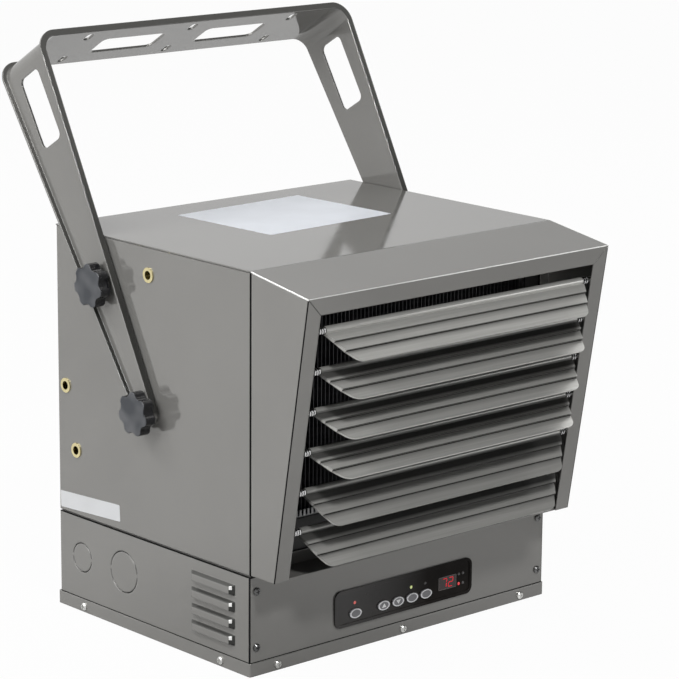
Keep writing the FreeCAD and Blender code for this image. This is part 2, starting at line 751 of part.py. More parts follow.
def core_fins():
    """Stack of plate fins threaded on the flat element bars."""
    low = CORE_LOW + RAIL_SHEET
    high = CORE_HIGH - RAIL_SHEET
    y0 = CORE_FRONT + RAIL_SHEET + PIECE_GAP
    fin = block(-FIN_SHEET / 2, FIN_SHEET / 2, y0, CORE_BACK, low, high)
    for z in element_levels():
        fin = fin.cut(element_bar(z, FIN_PITCH, SLIP))
    fins = []
    for x in fin_places():
        copy = fin.copy()
        copy.translate(vec(x, 0, 0))
        fins.append(copy)
    return Part.makeCompound(fins)


def heating_elements():
    """Flat sheathed bars with a terminal pin at each end."""
    bars = []
    y = (CORE_FRONT + CORE_BACK) / 2
    for z in element_levels():
        bar = element_bar(z, CORE_HALF + RAIL_SHEET, 0)
        pin = rod(vec(-CORE_HALF - RAIL_SHEET - ELEMENT_PIN, y, z), ALONG_X, ELEMENT_PIN_DIA / 2, ELEMENT_PIN)
        bars.append(fused([bar, pin, mirrored(pin)]))
    return Part.makeCompound(bars)


def core_rail():
    """Bottom rail: a channel whose front lip is cut into teeth between the fins."""
    floor = block(-CORE_HALF, CORE_HALF, CORE_FRONT, CORE_BACK, CORE_LOW, CORE_LOW + RAIL_SHEET)
    low = CORE_LOW + RAIL_SHEET
    outline = [vec(-CORE_HALF, CORE_FRONT, CORE_LOW), vec(-CORE_HALF, CORE_FRONT, low + TOOTH)]
    notch = FIN_PITCH / 4
    for x in fin_places():
        outline += [vec(x - notch, CORE_FRONT, low + TOOTH), vec(x - notch, CORE_FRONT, low),
                    vec(x + notch, CORE_FRONT, low), vec(x + notch, CORE_FRONT, low + TOOTH)]
    outline += [vec(CORE_HALF, CORE_FRONT, low + TOOTH), vec(CORE_HALF, CORE_FRONT, CORE_LOW)]
    comb = prism(outline, ALONG_Y * RAIL_SHEET)
    return fused([floor, comb])


def core_rail_top():
    middle = (CORE_LOW + CORE_HIGH) / 2
    return core_rail().mirror(vec(0, 0, middle), UP)


def core_end_plates():
    """Side plates of the core, with slots for the element bars."""
    plate = block(-CORE_HALF - RAIL_SHEET, -CORE_HALF, CORE_FRONT, CORE_BACK, CORE_LOW, CORE_HIGH)
    for z in element_levels():
        plate = plate.cut(element_bar(z, 2 * CORE_HALF, SLIP))
    return Part.makeCompound([plate, mirrored(plate)])


# Fan

STRAP_Y = BACK - 2 * SHEET - STRAP_REACH
HUB_Y = STRAP_Y + STRAP_SHEET + MOTOR_LENGTH + FAN_HUB_GAP


def ring_about_fan(profile):
    """Outline of (y, radius) pairs turned round the fan's axis."""
    points = [vec(0, y, FAN_Z + r) for y, r in profile]
    return spun(points, vec(0, 0, FAN_Z), ALONG_Y)


def fan_shroud():
    """Bell-mouthed air ring fixed inside the back panel."""
    y1 = BACK - 2 * SHEET
    r = back_opening_radius()
    y0 = y1 - SHROUD_LENGTH
    flange = r + SHROUD_FLANGE
    return ring_about_fan([
        (y1, r),
        (y1, flange),
        (y1 - SHEET, flange),
        (y1 - SHEET, r + SHEET + BEND),
        (y1 - SHEET - BEND, r + SHEET),
        (y0, r + SHEET),
        (y0, r),
    ])


def guard_screw_spots():
    r = back_opening_radius() + GUARD_OVERLAP + GUARD_EYE
    spots = []
    for k in range(4):
        a = math.radians(45 + 90 * k)
        spots.append((vec(r * math.cos(a), BACK - SHEET, FAN_Z + r * math.sin(a)), vec(0, 1, 0)))
    return spots


def fan_guard():
    """Round guard over the air inlet: rings welded to radial spokes, with a middle disc and four eyes."""
    wire = GUARD_WIRE / 2
    y = BACK - SHEET + wire
    y0 = y - wire
    y1 = y + wire
    outer = back_opening_radius() + GUARD_OVERLAP
    step = (outer - GUARD_DISC) / GUARD_RINGS
    parts = [rod(vec(0, y0, FAN_Z), ALONG_Y, GUARD_DISC, GUARD_WIRE)]
    for k in range(GUARD_RINGS):
        low = outer - step * k - wire
        high = low + GUARD_WIRE
        parts.append(ring_about_fan([(y0, low), (y0, high), (y1, high), (y1, low)]))
    for k in range(GUARD_SPOKES):
        a = 2 * math.pi * (k + 0.5) / GUARD_SPOKES + math.pi / GUARD_SPOKES
        out = vec(math.cos(a), 0, math.sin(a))
        start = vec(0, y + SPOKE_LIFT, FAN_Z) + out * (GUARD_DISC - wire)
        parts.append(rod(start, out, wire, outer - GUARD_DISC + wire))
    for seat, out in guard_screw_spots():
        parts.append(rod(seat, out, GUARD_EYE, GUARD_EYE_SHEET))
    guard = parts[0].multiFuse(parts[1:])
    return screw_holes(guard, guard_screw_spots())


def guard_screws():
    return Part.makeCompound([screw(seat + out * GUARD_EYE_SHEET, out) for seat, out in guard_screw_spots()])


def motor_bracket():
    """Bent strap that carries the motor across the back panel's inside."""
    y1 = BACK - 2 * SHEET
    t = STRAP_SHEET
    inner = STRAP_HALF
    outer = STRAP_HALF + t
    foot = STRAP_HALF + STRAP_FOOT
    right = [(inner, STRAP_Y + t), (inner, y1), (foot, y1), (foot, y1 - t), (outer, y1 - t), (outer, STRAP_Y)]
    outline = right + [(-x, y) for x, y in reversed(right)]
    z = FAN_Z - STRAP_HEIGHT / 2
    return prism([vec(x, y, z) for x, y in outline], UP * STRAP_HEIGHT)


def fan_motor():
    """Motor can with stepped end bells and a bearing bore for the shaft."""
    y0 = STRAP_Y + STRAP_SHEET
    y1 = y0 + MOTOR_LENGTH
    r = MOTOR_RADIUS
    bore = SHAFT_DIA / 2 + RUN_FIT
    return ring_about_fan([
        (y0, bore),
        (y0, MOTOR_BELL_RADIUS),
        (y0 + MOTOR_BELL, r),
        (y1 - MOTOR_SHOULDER, r),
        (y1 - MOTOR_BOSS, MOTOR_BELL_RADIUS),
        (y1 - MOTOR_BOSS, MOTOR_BOSS_RADIUS),
        (y1, MOTOR_BOSS_RADIUS),
        (y1, bore),
    ])


def motor_shaft():
    y0 = STRAP_Y + STRAP_SHEET + SHAFT_INSET
    y1 = HUB_Y + FAN_HUB_LENGTH + SHAFT_PROUD
    return rod(vec(0, y0, FAN_Z), ALONG_Y, SHAFT_DIA / 2, y1 - y0)


def blade_section(radius):
    """Closed cambered section of a blade at a radius, as a wire."""
    share = (radius - FAN_HUB_RADIUS) / (FAN_RADIUS - FAN_HUB_RADIUS)
    chord = BLADE_CHORD_ROOT + (BLADE_CHORD_TIP - BLADE_CHORD_ROOT) * share
    pitch = math.radians(BLADE_PITCH_ROOT + (BLADE_PITCH_TIP - BLADE_PITCH_ROOT) * share)
    camber = BLADE_CAMBER * chord
    along = vec(0, math.sin(pitch), math.cos(pitch))
    across = vec(0, math.cos(pitch), -math.sin(pitch))
    centre = vec(radius, HUB_Y + FAN_HUB_LENGTH / 2, FAN_Z)
    a = centre - along * (chord / 2)
    b = centre + along * (chord / 2)
    upper = centre + across * (camber + BLADE_SHEET / 2)
    lower = centre + across * (camber - BLADE_SHEET / 2)
    lift = across * (BLADE_SHEET / 4)
    return Part.Wire([
        Part.Arc(a + lift, upper, b + lift).toShape(),
        Part.LineSegment(b + lift, b - lift).toShape(),
        Part.Arc(b - lift, lower, a - lift).toShape(),
        Part.LineSegment(a - lift, a + lift).toShape(),
    ])


def fan_impeller():
    """Hub with twisted, cambered blades, trimmed to a true circle at the tips."""
    y0 = HUB_Y
    y1 = HUB_Y + FAN_HUB_LENGTH
    bore = SHAFT_DIA / 2 + PRESS_FIT
    r = FAN_HUB_RADIUS
    c = FAN_HUB_BEVEL
    hub = ring_about_fan([(y0, bore), (y0, r), (y1 - c, r), (y1, r - c), (y1, bore)])
    radii = [r - BLADE_SINK, (r + FAN_RADIUS) / 2, FAN_RADIUS + BLADE_TRIM]
    blade = Part.makeLoft([blade_section(x) for x in radii], True)
    reach = SHROUD_LENGTH
    trim = rod(vec(0, HUB_Y - reach, FAN_Z), ALONG_Y, FAN_RADIUS, FAN_HUB_LENGTH + 2 * reach)
    blade = blade.common(trim)
    core = rod(vec(0, HUB_Y - reach, FAN_Z), ALONG_Y, r - BLADE_ROOT, FAN_HUB_LENGTH + 2 * reach)
    blade = blade.cut(core)
    parts = [hub]
    for k in range(BLADE_COUNT):
        copy = blade.copy()
        copy.rotate(vec(0, 0, FAN_Z), ALONG_Y, 360.0 * k / BLADE_COUNT)
        parts.append(copy)
    return parts[0].multiFuse(parts[1:])


# Yoke and its knobs

YOKE_INNER = SIDE + INSERT_RIM + PIECE_GAP
YOKE_OUTER = YOKE_INNER + YOKE_SHEET


def yoke_band(height):
    """U-shaped strip of one thickness, as wide as the yoke could ever be."""
    wide = YOKE_REACH
    place = lambda w: lambda u, v: vec(u, w, v)

    def arch(half, top, radius):
        low = -2 * YOKE_END_RADIUS
        outline = round_rectangle(-half, half, low - 3 * radius, top, radius, place(-wide))
        body = outline.extrude(vec(0, 2 * wide, 0))
        return body.cut(block(-2 * half, 2 * half, -wide, wide, low - 4 * radius, low))

    outer = arch(YOKE_INNER + height, YOKE_REACH + height, YOKE_BEND + height)
    return outer.cut(arch(YOKE_INNER, YOKE_REACH, YOKE_BEND))


def yoke_outline(radius):
    """Side view of the arms, pushed across the heater: a round lower end and edges that spread upwards."""
    t = math.radians(YOKE_TAPER)
    top = YOKE_REACH + 2 * YOKE_RIM
    width = lambda u: radius / math.cos(t) + u * math.tan(t)
    touch_u = -radius * math.sin(t)
    touch_w = radius * math.cos(t)
    x = -SIDE * 2
    a = vec(x, touch_w, touch_u)
    b = vec(x, width(top), top)
    c = vec(x, -width(top), top)
    d = vec(x, -touch_w, touch_u)
    wire = Part.Wire([
        Part.LineSegment(a, b).toShape(),
        Part.LineSegment(b, c).toShape(),
        Part.LineSegment(c, d).toShape(),
        Part.Arc(d, vec(x, 0, -radius), a).toShape(),
    ])
    return Part.Face(wire).extrude(ALONG_X * SIDE * 4)


def yoke():
    """Stamped U bracket with an outward rim round its edges, slots in the bar and windows in bar and arms."""
    outline = yoke_outline(YOKE_END_RADIUS)
    web = yoke_band(YOKE_SHEET).common(outline)
    rim = yoke_band(YOKE_RIM).common(outline.cut(yoke_outline(YOKE_END_RADIUS - YOKE_SHEET)))
    whole = fused([web, rim])
    across = WIDTH * 2
    arm_hole = round_rectangle(-ARM_HOLE_HALF, ARM_HOLE_HALF, ARM_HOLE_LOW, ARM_HOLE_HIGH, HOLE_CORNER,
                               lambda u, v: vec(-across / 2, u, v))
    cuts = [arm_hole.extrude(ALONG_X * across)]
    base = vec(0, 0, YOKE_REACH - 1)
    lift = UP * (YOKE_SHEET + 2)
    for s in (-1, 1):
        low, high = sorted((s * BAR_HOLE_NEAR, s * BAR_HOLE_FAR))
        hole = round_rectangle(low, high, -BAR_HOLE_HALF, BAR_HOLE_HALF, HOLE_CORNER,
                               lambda u, v: base + vec(u, v, 0))
        cuts.append(hole.extrude(lift))
    for x in (-SLOT_SPREAD, 0.0, SLOT_SPREAD):
        for w in (-SLOT_ROW, SLOT_ROW):
            slot = obround(base + vec(x, w, 0), ALONG_Y, ALONG_X, SLOT_LENGTH, SLOT_WIDTH)
            cuts.append(slot.extrude(lift))
    bore = STUD_DIA / 2 + RUN_FIT
    for u in (0.0, LOCK_RADIUS):
        cuts.append(rod(vec(-across / 2, 0, u), ALONG_X, bore, across))
    whole = whole.cut(cuts[0].multiFuse(cuts[1:]))
    whole.rotate(vec(0, 0, 0), ALONG_X, -YOKE_TILT)
    whole.translate(vec(0, PIVOT_Y, PIVOT_Z))
    return whole


def threaded_inserts():
    """Rivet nuts in the side panels: a rim outside and a bored body inside."""
    inserts = []
    bore = STUD_DIA / 2 + RUN_FIT
    for spot in insert_spots():
        rim = rod(spot - ALONG_X * INSERT_RIM, ALONG_X, INSERT_RIM_DIA / 2, INSERT_RIM)
        body = rod(spot, ALONG_X, INSERT_BODY_DIA / 2, INSERT_LENGTH)
        hole = rod(spot - ALONG_X * 2 * INSERT_RIM, ALONG_X, bore, INSERT_LENGTH + 4 * INSERT_RIM)
        insert = fused([rim, body]).cut(hole)
        inserts += [insert, mirrored(insert)]
    return Part.makeCompound(inserts)


def yoke_washers():
    """Plain washers between the yoke's arms and the knobs."""
    washers = []
    for radius in (0.0, LOCK_RADIUS):
        seat = lock_point(YOKE_TILT, radius, -YOKE_OUTER - WASHER)
        ring = rod(seat, ALONG_X, WASHER_DIA / 2, WASHER)
        ring = ring.cut(rod(seat - ALONG_X, ALONG_X, STUD_DIA / 2 + RUN_FIT, WASHER + 2))
        washers += [ring, mirrored(ring)]
    return Part.makeCompound(washers)


KNOB_SEAT = YOKE_OUTER + WASHER


def star_knob(radius):
    """Left star knob: a round hub under a lobed head with rounded rims, bored for its stud."""
    centre = lock_point(YOKE_TILT, radius, 0)
    x_hub = -KNOB_SEAT
    x_head = x_hub - KNOB_HUB
    x_face = x_head - KNOB_HEAD
    edges = []
    step = 2 * math.pi / KNOB_LOBES
    shoulder = (KNOB_RADIUS + KNOB_WAIST) / 2
    point = lambda r, a: vec(x_face, centre.y + r * math.sin(a), centre.z + r * math.cos(a))
    for k in range(KNOB_LOBES):
        a = k * step
        before = point(shoulder, a - step / 4)
        after = point(shoulder, a + step / 4)
        next_lobe = point(shoulder, a + step * 3 / 4)
        edges.append(Part.Arc(before, point(KNOB_RADIUS, a), after).toShape())
        edges.append(Part.Arc(after, point(KNOB_WAIST, a + step / 2), next_lobe).toShape())
    star = Part.Face(Part.Wire(edges)).extrude(ALONG_X * KNOB_HEAD)
    dome = rod(vec(x_face, centre.y, centre.z), ALONG_X, KNOB_RADIUS + KNOB_DOME, KNOB_HEAD)
    dome = dome.makeFillet(KNOB_ROUND, [e for e in dome.Edges if len(e.Vertexes) == 1])
    head = star.common(dome)
    hub = rod(vec(x_head, centre.y, centre.z), ALONG_X, KNOB_HUB_DIA / 2, KNOB_HUB)
    bore = STUD_DIA / 2 + PRESS_FIT
    socket = rod(vec(x_hub - STUD_IN_KNOB, centre.y, centre.z), ALONG_X, bore, STUD_IN_KNOB + SHEET)
    return fused([head, hub]).cut(socket)


def stud(radius, tip_x):
    """Threaded stud moulded in a left knob, ending at tip_x."""
    x0 = -KNOB_SEAT - STUD_IN_KNOB
    start = lock_point(YOKE_TILT, radius, x0)
    return rod(start, ALONG_X, STUD_DIA / 2, tip_x - x0)


PIVOT_TIP = -SIDE + INSERT_LENGTH - PIVOT_STUD_SHORT
LOCK_TIP = -SIDE - INSERT_RIM - STUD_GAP


# Control panel and the parts in the base

PANEL_FACE = FRONT - PANEL_PROUD
PANEL_SUNK = PANEL_FACE + PANEL_PROUD / 2
PANEL_REAR = PANEL_SUNK + PANEL_WALL
BOARD_FRONT = FRONT + BOARD_BACK
SWITCH_FRONT = BOARD_FRONT - SWITCH_TALL


def oval(x, z, wide, tall, y):
    """Flat elliptical face of a button, looking along Y."""
    ellipse = Part.Ellipse(vec(x, y, z), wide / 2, tall / 2)
    ring = ellipse.toShape()
    ring.rotate(vec(x, y, z), ALONG_X, 90)
    return Part.Face(Part.Wire([ring]))


def control_panel():
    """Black moulded bezel that snaps through the front panel's window, with posts for the board."""
    plate = panel_inset(0, PANEL_CORNER + PANEL_RIM, PANEL_FACE).extrude(ALONG_Y * PANEL_PROUD)
    plate = plate.cut(panel_inset(PANEL_RIM, PANEL_CORNER, PANEL_FACE).extrude(ALONG_Y * (PANEL_PROUD / 2)))
    plug = panel_inset(PANEL_RIM + SLIP, PANEL_CORNER, PANEL_SUNK).extrude(ALONG_Y * PANEL_WALL)
    whole = fused([plate, plug])
    start = PANEL_REAR - SHEET
    for x, z in board_posts():
        whole = whole.fuse(rod(vec(x, start, z), ALONG_Y, POST_DIA / 2, BOARD_FRONT - start))
    for x in BUTTON_X:
        hole = oval(x, BUTTON_Z, BUTTON_WIDE + 2 * BUTTON_GAP, BUTTON_TALL + 2 * BUTTON_GAP, PANEL_FACE - 1)
        whole = whole.cut(hole.extrude(vec(0, PANEL_WALL + 3, 0)))
    for x, z in LED_SPOTS:
        whole = whole.cut(rod(vec(x, PANEL_FACE - 1, z), ALONG_Y, LED_DIA / 2 + SLIP, PANEL_WALL + 3))
    w = DISPLAY_WIDE / 2 + SLIP
    h = DISPLAY_TALL / 2 + SLIP
    y1 = PANEL_REAR + 1
    return whole.cut(block(DISPLAY_X - w, DISPLAY_X + w, PANEL_FACE - 1, y1, DISPLAY_Z - h, DISPLAY_Z + h))


def board_posts():
    inset = PANEL_RIM + POST_DIA / 2 + POST_MARGIN
    ends = (PANEL_LEFT + inset, PANEL_RIGHT - inset)
    return [(x, z) for x in ends for z in (PANEL_LOW + inset, PANEL_HIGH - inset)]


def button(x):
    """Oval push button with a skirt behind the bezel and a stem to its switch."""
    cap = oval(x, BUTTON_Z, BUTTON_WIDE, BUTTON_TALL, PANEL_SUNK - BUTTON_PROUD)
    cap = cap.extrude(vec(0, BUTTON_PROUD + PANEL_WALL + SLIP, 0))
    out = 2 * BUTTON_SKIRT_OUT
    skirt = oval(x, BUTTON_Z, BUTTON_WIDE + out, BUTTON_TALL + out, PANEL_REAR + SLIP)
    skirt = skirt.extrude(vec(0, BUTTON_SKIRT, 0))
    stem_start = PANEL_REAR + SLIP + BUTTON_SKIRT
    stem_end = SWITCH_FRONT - BUTTON_TRAVEL - SLIP
    stem = rod(vec(x, stem_start, BUTTON_Z), ALONG_Y, BUTTON_STEM_DIA / 2, stem_end - stem_start)
    return fused([cap, skirt, stem])


def tact_switches():
    half = SWITCH_SIDE / 2
    bodies = []
    for x in BUTTON_X:
        bodies.append(block(x - half, x + half, SWITCH_FRONT, BOARD_FRONT, BUTTON_Z - half, BUTTON_Z + half))
    return Part.makeCompound(bodies)


def status_leds():
    """Domed indicator lamps, from the board to the bezel's face."""
    lamps = []
    for x, z in LED_SPOTS:
        y0 = PANEL_SUNK - LED_PROUD
        body = rod(vec(x, y0 + LED_BEVEL, z), ALONG_Y, LED_DIA / 2, BOARD_FRONT - y0 - LED_BEVEL)
        tip = Part.makeCone(LED_DIA / 2 - LED_BEVEL, LED_DIA / 2, LED_BEVEL, vec(x, y0, z), ALONG_Y)
        lamps.append(fused([tip, body]))
    return Part.makeCompound(lamps)


def display():
    """Two-digit display block behind a clear window."""
    w = DISPLAY_WIDE / 2
    h = DISPLAY_TALL / 2
    return block(DISPLAY_X - w, DISPLAY_X + w, PANEL_SUNK, BOARD_FRONT, DISPLAY_Z - h, DISPLAY_Z + h)


def control_board():
    y = BOARD_FRONT
    return block(PANEL_LEFT, PANEL_RIGHT, y, y + BOARD_SHEET, PANEL_LOW, PANEL_HIGH)


def terminal_block():
    """Supply terminal block: a ribbed body with a clamp well for each wire."""
    length = TERMINAL_POLES * TERMINAL_STEP
    y0 = TERMINAL_Y - length / 2
    x0 = TERMINAL_X - TERMINAL_DEEP / 2
    body = block(x0, x0 + TERMINAL_DEEP, y0, y0 + length, SHEET, SHEET + TERMINAL_TALL)
    low = SHEET + TERMINAL_TALL / 2
    high = TERMINAL_TALL + 2 * SHEET
    inner = x0 + TERMINAL_WALL
    outer = x0 + TERMINAL_DEEP - TERMINAL_WALL
    for k in range(TERMINAL_POLES):
        a = y0 + k * TERMINAL_STEP + TERMINAL_WALL
        b = y0 + (k + 1) * TERMINAL_STEP - TERMINAL_WALL
        body = body.cut(block(inner, outer, a, b, low, high))
    return body


def relays():
    """Two power relays on the tray's floor."""
    cubes = []
    for x in RELAY_X:
        half = RELAY_SIDE / 2
        cube = block(x - half, x + half, RELAY_Y - half, RELAY_Y + half, SHEET, SHEET + RELAY_TALL)
        top = [e for e in edges_where(cube, lambda p: p.z > RELAY_TALL)]
        cubes.append(cube.makeFillet(RELAY_ROUND, top))
    return Part.makeCompound(cubes)


def ground_lug():
    """Earthing bolt and saddle on the tray's floor."""
    half = LUG_HALF
    top = SHEET + LUG_TALL
    saddle = block(LUG_X - half, LUG_X + half, TERMINAL_Y - half, TERMINAL_Y + half, SHEET, top)
    start = vec(LUG_X - 2 * half, TERMINAL_Y, SHEET + LUG_HOLE_Z)
    saddle = saddle.cut(rod(start, ALONG_X, LUG_HOLE_DIA / 2, 4 * half))
    return saddle.fuse(rod(vec(LUG_X, TERMINAL_Y, top), UP, LUG_BOLT_RADIUS, LUG_BOLT_RADIUS))


def limit_thermostat():
    """Snap-disc over-heat cut-out on the core's upper rail."""
    z = CORE_HIGH
    y = (CORE_FRONT + CORE_BACK) / 2
    disc = rod(vec(0, y, z), UP, LIMIT_RADIUS, LIMIT_TALL)
    cap = rod(vec(0, y, z + LIMIT_TALL), UP, LIMIT_CAP_RADIUS, LIMIT_CAP)
    return fused([disc, cap])


def save(name, shape):
    shape.exportStep("parts/" + name + ".step")


def main():
    os.makedirs("parts", exist_ok=True)
    save("bottom_tray", bottom_tray())
    save("base_shell", base_shell())
    save("base_front_panel", base_front_panel())
    save("tray_screws", Part.makeCompound([screw(*spot) for spot in screw_spots_tray()]))
    save("front_panel_screws", Part.makeCompound([screw(*spot) for spot in screw_spots_front()]))
    save("cabinet_floor", cabinet_floor())
    side = cabinet_side()
    save("cabinet_left_side", side)
    save("cabinet_right_side", mirrored(side))
    save("cabinet_top", cabinet_top())
    save("cabinet_back", cabinet_back())
    save("front_bulkhead", front_bulkhead())
    cheek = hood_side()
    save("hood_left_side", cheek)
    save("hood_right_side", mirrored(cheek))
    save("hood_top", hood_top())
    save("hood_bottom", hood_bottom())
    for k in range(len(LOUVRE_SLOPES)):
        save("louvre_%d" % (k + 1), louvre(k))
    save("louvre_pins", louvre_pins())
    save("louvre_springs", louvre_springs())
    save("core_fins", core_fins())
    save("heating_elements", heating_elements())
    save("core_bottom_rail", core_rail())
    save("core_top_rail", core_rail_top())
    save("core_end_plates", core_end_plates())
    save("limit_thermostat", limit_thermostat())
    save("fan_shroud", fan_shroud())
    save("fan_guard", fan_guard())
    save("guard_screws", guard_screws())
    save("motor_bracket", motor_bracket())
    save("fan_motor", fan_motor())
    save("motor_shaft", motor_shaft())
    save("fan_impeller", fan_impeller())
    save("yoke", yoke())
    save("threaded_inserts", threaded_inserts())
    save("yoke_washers", yoke_washers())
    for name, radius, tip in (("pivot", 0.0, PIVOT_TIP), ("lock", LOCK_RADIUS, LOCK_TIP)):
        knob = star_knob(radius)
        bolt = stud(radius, tip)
        save(name + "_knob_left", knob)
        save(name + "_knob_right", mirrored(knob))
        save(name + "_stud_left", bolt)
        save(name + "_stud_right", mirrored(bolt))
    save("control_panel", control_panel())
    for k, x in enumerate(BUTTON_X):
        save("button_%d" % (k + 1), button(x))
    save("tact_switches", tact_switches())
    save("status_leds", status_leds())
    save("display", display())
    save("control_board", control_board())
    save("terminal_block", terminal_block())
    save("relays", relays())
    save("ground_lug", ground_lug())


main()
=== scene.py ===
"""Studio picture of the garage heater: finishes for every CAD node, blank labels, display digits, lights and camera."""
import bmesh
import bpy
import json
import math
from mathutils import Matrix, Vector


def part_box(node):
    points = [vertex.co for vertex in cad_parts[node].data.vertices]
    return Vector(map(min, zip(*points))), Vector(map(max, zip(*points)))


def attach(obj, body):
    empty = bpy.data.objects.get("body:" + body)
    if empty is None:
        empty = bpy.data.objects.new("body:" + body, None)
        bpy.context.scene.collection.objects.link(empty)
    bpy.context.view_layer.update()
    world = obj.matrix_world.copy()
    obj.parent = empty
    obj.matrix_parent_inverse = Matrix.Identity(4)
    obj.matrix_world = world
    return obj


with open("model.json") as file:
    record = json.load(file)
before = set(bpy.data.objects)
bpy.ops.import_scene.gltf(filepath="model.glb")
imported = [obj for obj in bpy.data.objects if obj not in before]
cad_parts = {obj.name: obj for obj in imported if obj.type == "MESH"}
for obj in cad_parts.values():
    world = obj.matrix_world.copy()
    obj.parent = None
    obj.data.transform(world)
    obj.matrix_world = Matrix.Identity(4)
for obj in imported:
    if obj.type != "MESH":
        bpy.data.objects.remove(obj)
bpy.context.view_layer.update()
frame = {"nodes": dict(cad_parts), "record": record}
nodes = frame["nodes"]
scene = bpy.context.scene

MM = 0.001
ALONG_X, ALONG_Y, ALONG_Z = (1, 0, 0), (0, 1, 0), (0, 0, 1)

# Faces and edges of the CAD nodes, in metres in the row frame
SIDE_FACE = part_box("cabinet_left_side")[0][0]
LID_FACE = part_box("cabinet_top")[1][2]
DISPLAY_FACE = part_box("display")[0][1]
BUTTON_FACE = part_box("button_2")[0][1]
KNOB_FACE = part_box("pivot_knob_right")[1][0]
SIDE_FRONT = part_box("cabinet_left_side")[0][1]
SIDE_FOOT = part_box("cabinet_left_side")[0][2]
SIDE_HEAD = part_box("cabinet_left_side")[1][2]
BASE_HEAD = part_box("base_shell")[1][2]
TRAY_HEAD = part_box("bottom_tray")[1][2]
BASE_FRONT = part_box("base_shell")[0][1]
LID_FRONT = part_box("cabinet_top")[0][1]
HOOD_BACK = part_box("hood_left_side")[1][1]

# Planes of the hood's roof and front: outward direction and distance from the origin
HOOD_UP, HOOD_ROOF = (0, -0.16046, 0.98704), 0.37313
HOOD_OUT, HOOD_FACE = (0, -0.98674, -0.16238), 0.15006
YOKE_TILT = math.radians(31)
YOKE_FLANGE = (0, math.cos(YOKE_TILT), -math.sin(YOKE_TILT))

# Louvres from the top: degrees below level, and millimetres from pivot to lip
LOUVRE_TILTS = (44.6, 38.0, 37.2, 36.2, 53.4, 57.4)
LOUVRE_CHORD = 36.5

# Vents: foot of the lowest one and their pitch
VENT_FOOT = 24.0 * MM
VENT_PITCH = 15.1 * MM

# Control panel: half sizes of a key, places of keys and lamps along and up, and the display's middle
KEY_HALF = (6.8 * MM, 4.2 * MM)
KEYS_UP = 32.2 * MM
KEYS_ALONG = (-57.8 * MM, -24.1 * MM, -6.7 * MM, 10.5 * MM, 27.7 * MM)
LAMP_POWER = -57.9 * MM
LAMP_MODE = 10.2 * MM
LAMP_LIT = (70.0 * MM, 32.7 * MM)
LAMP_REACH = 3.0 * MM
LAMP_LIT_REACH = 2.5 * MM
DISPLAY_MIDDLE = (55.2 * MM, 36.9 * MM)

SPRING_CUP_PITCH = 2.5 * MM

# Paint and the light and shade that is painted on it
PAINT = (0.232, 0.228, 0.217)
GLOSS = 0.075
FLAKE = 0.3
EDGE = 1.4 * MM
PRESSED_EDGE = 2.2 * MM
SEAM = (0.01, 0.01, 0.01)
SPECULAR, SEAM_SPECULAR = 0.5, 0.05
# Painted highlight: bright folds on the roof and a glint on each vent's front end
GLINT = (0.95, 0.95, 0.93)
# Painted shade on the vents' slopes and front ends
VENT_SLOPE_PAINTED_SHADE = (0.095, 0.095, 0.09)
VENT_END_PAINTED_SHADE = (0.03, 0.03, 0.028)
VENT_RISE = 0.3 * MM
VENT_GLINT_OUT, VENT_GLINT_WIDE = 2.9 * MM, 0.9 * MM
VENT_GLINT_UP, VENT_GLINT_TALL = 5.8 * MM, 1.7 * MM
# Painted shade on the yoke's flanges, fuller low down
FLANGE_PAINTED_SHADE = (0.045, 0.045, 0.042)
FLANGE_LOW, FLANGE_HIGH = 0.30, 0.44
FLANGE_SHADE_LOW, FLANGE_SHADE_HIGH = 1.0, 0.5
# How squarely a face looks along a direction, where a shade starts and where it is full
SLOPE_FACING = (0.98, 0.85)
END_FACING = (-0.4, -0.55)
FLANGE_FACING = (0.75, 0.92)
UNDER_FACING = (-0.2, -0.5)
LOUVRE_PAINT = (0.53, 0.527, 0.502)
LOUVRE_UNDERSIDE_PAINTED_SHADE = (0.02, 0.02, 0.02)
LOUVRE_FLAKE = 0.4
# Millimetres down the blade and tone there, painted light and shade: on the whole blade dark lines at the grooves,
# shade below them and lighter bands; and a painted shadow near the pivot of a blade with another one above it
LOUVRE_SHADE = ((0, 0.85), (11.5, 1.0), (12.7, 1.0), (12.9, 0.15), (13.1, 0.15), (13.3, 0.6), (16, 0.85), (19, 1.05),
                (23.3, 1.05), (23.5, 0.15), (23.7, 0.15), (23.9, 0.6), (26.5, 0.85), (30, 1.1), (LOUVRE_CHORD, 1.05))
COVERED_SHADE = ((1.5, 0.8), (2.5, 0.22), (9.0, 0.22))
# Tone of each blade from the top: the two lowest are darker, painted shade
LOUVRE_TONES = (1.0, 1.0, 1.0, 1.0, 0.8, 0.8)

# Knobs, panel, keys, lamps, display and the metal inside
KNOB_BLACK = (0.014, 0.014, 0.016)
# Patchy greys of the knob's flat outer face: painted sheen
KNOB_FACE_PAINTED_SHEEN = ((0.025, 0.029, 0.036), (0.085, 0.088, 0.095))
KNOB_CLOUD = (0.35, 0.65)
PANEL_BLACK = (0.017, 0.0145, 0.013)
PANEL_FADE = (-70 * MM, 30 * MM)
PANEL_MIRROR = (0.6, 0.04)
KEY_GREY = (0.19, 0.19, 0.2)
RING_PALE = (0.85, 0.85, 0.87)
RING_MIDDLE, RING_HALF = 0.89, 0.11
LAMP_DARK = (0.10, 0.095, 0.095)
LAMP_POWER_RED = (0.75, 0.16, 0.14)
LAMP_MODE_GREEN = (0.75, 0.85, 0.36)
LAMP_LIT_RED = (0.8, 0.05, 0.06)
LAMP_GLOW = 0.4
SEGMENT_RED = (0.62, 0.008, 0.02)
SEGMENT_GLOW = 0.5
# Spring: painted highlights on its cups and painted shade between them
SPRING_LIGHT_AND_SHADE = (0.40, 0.40, 0.40)
FIN_GREY = (0.11, 0.11, 0.115)
BOARD_GREEN = (0.02, 0.16, 0.06)

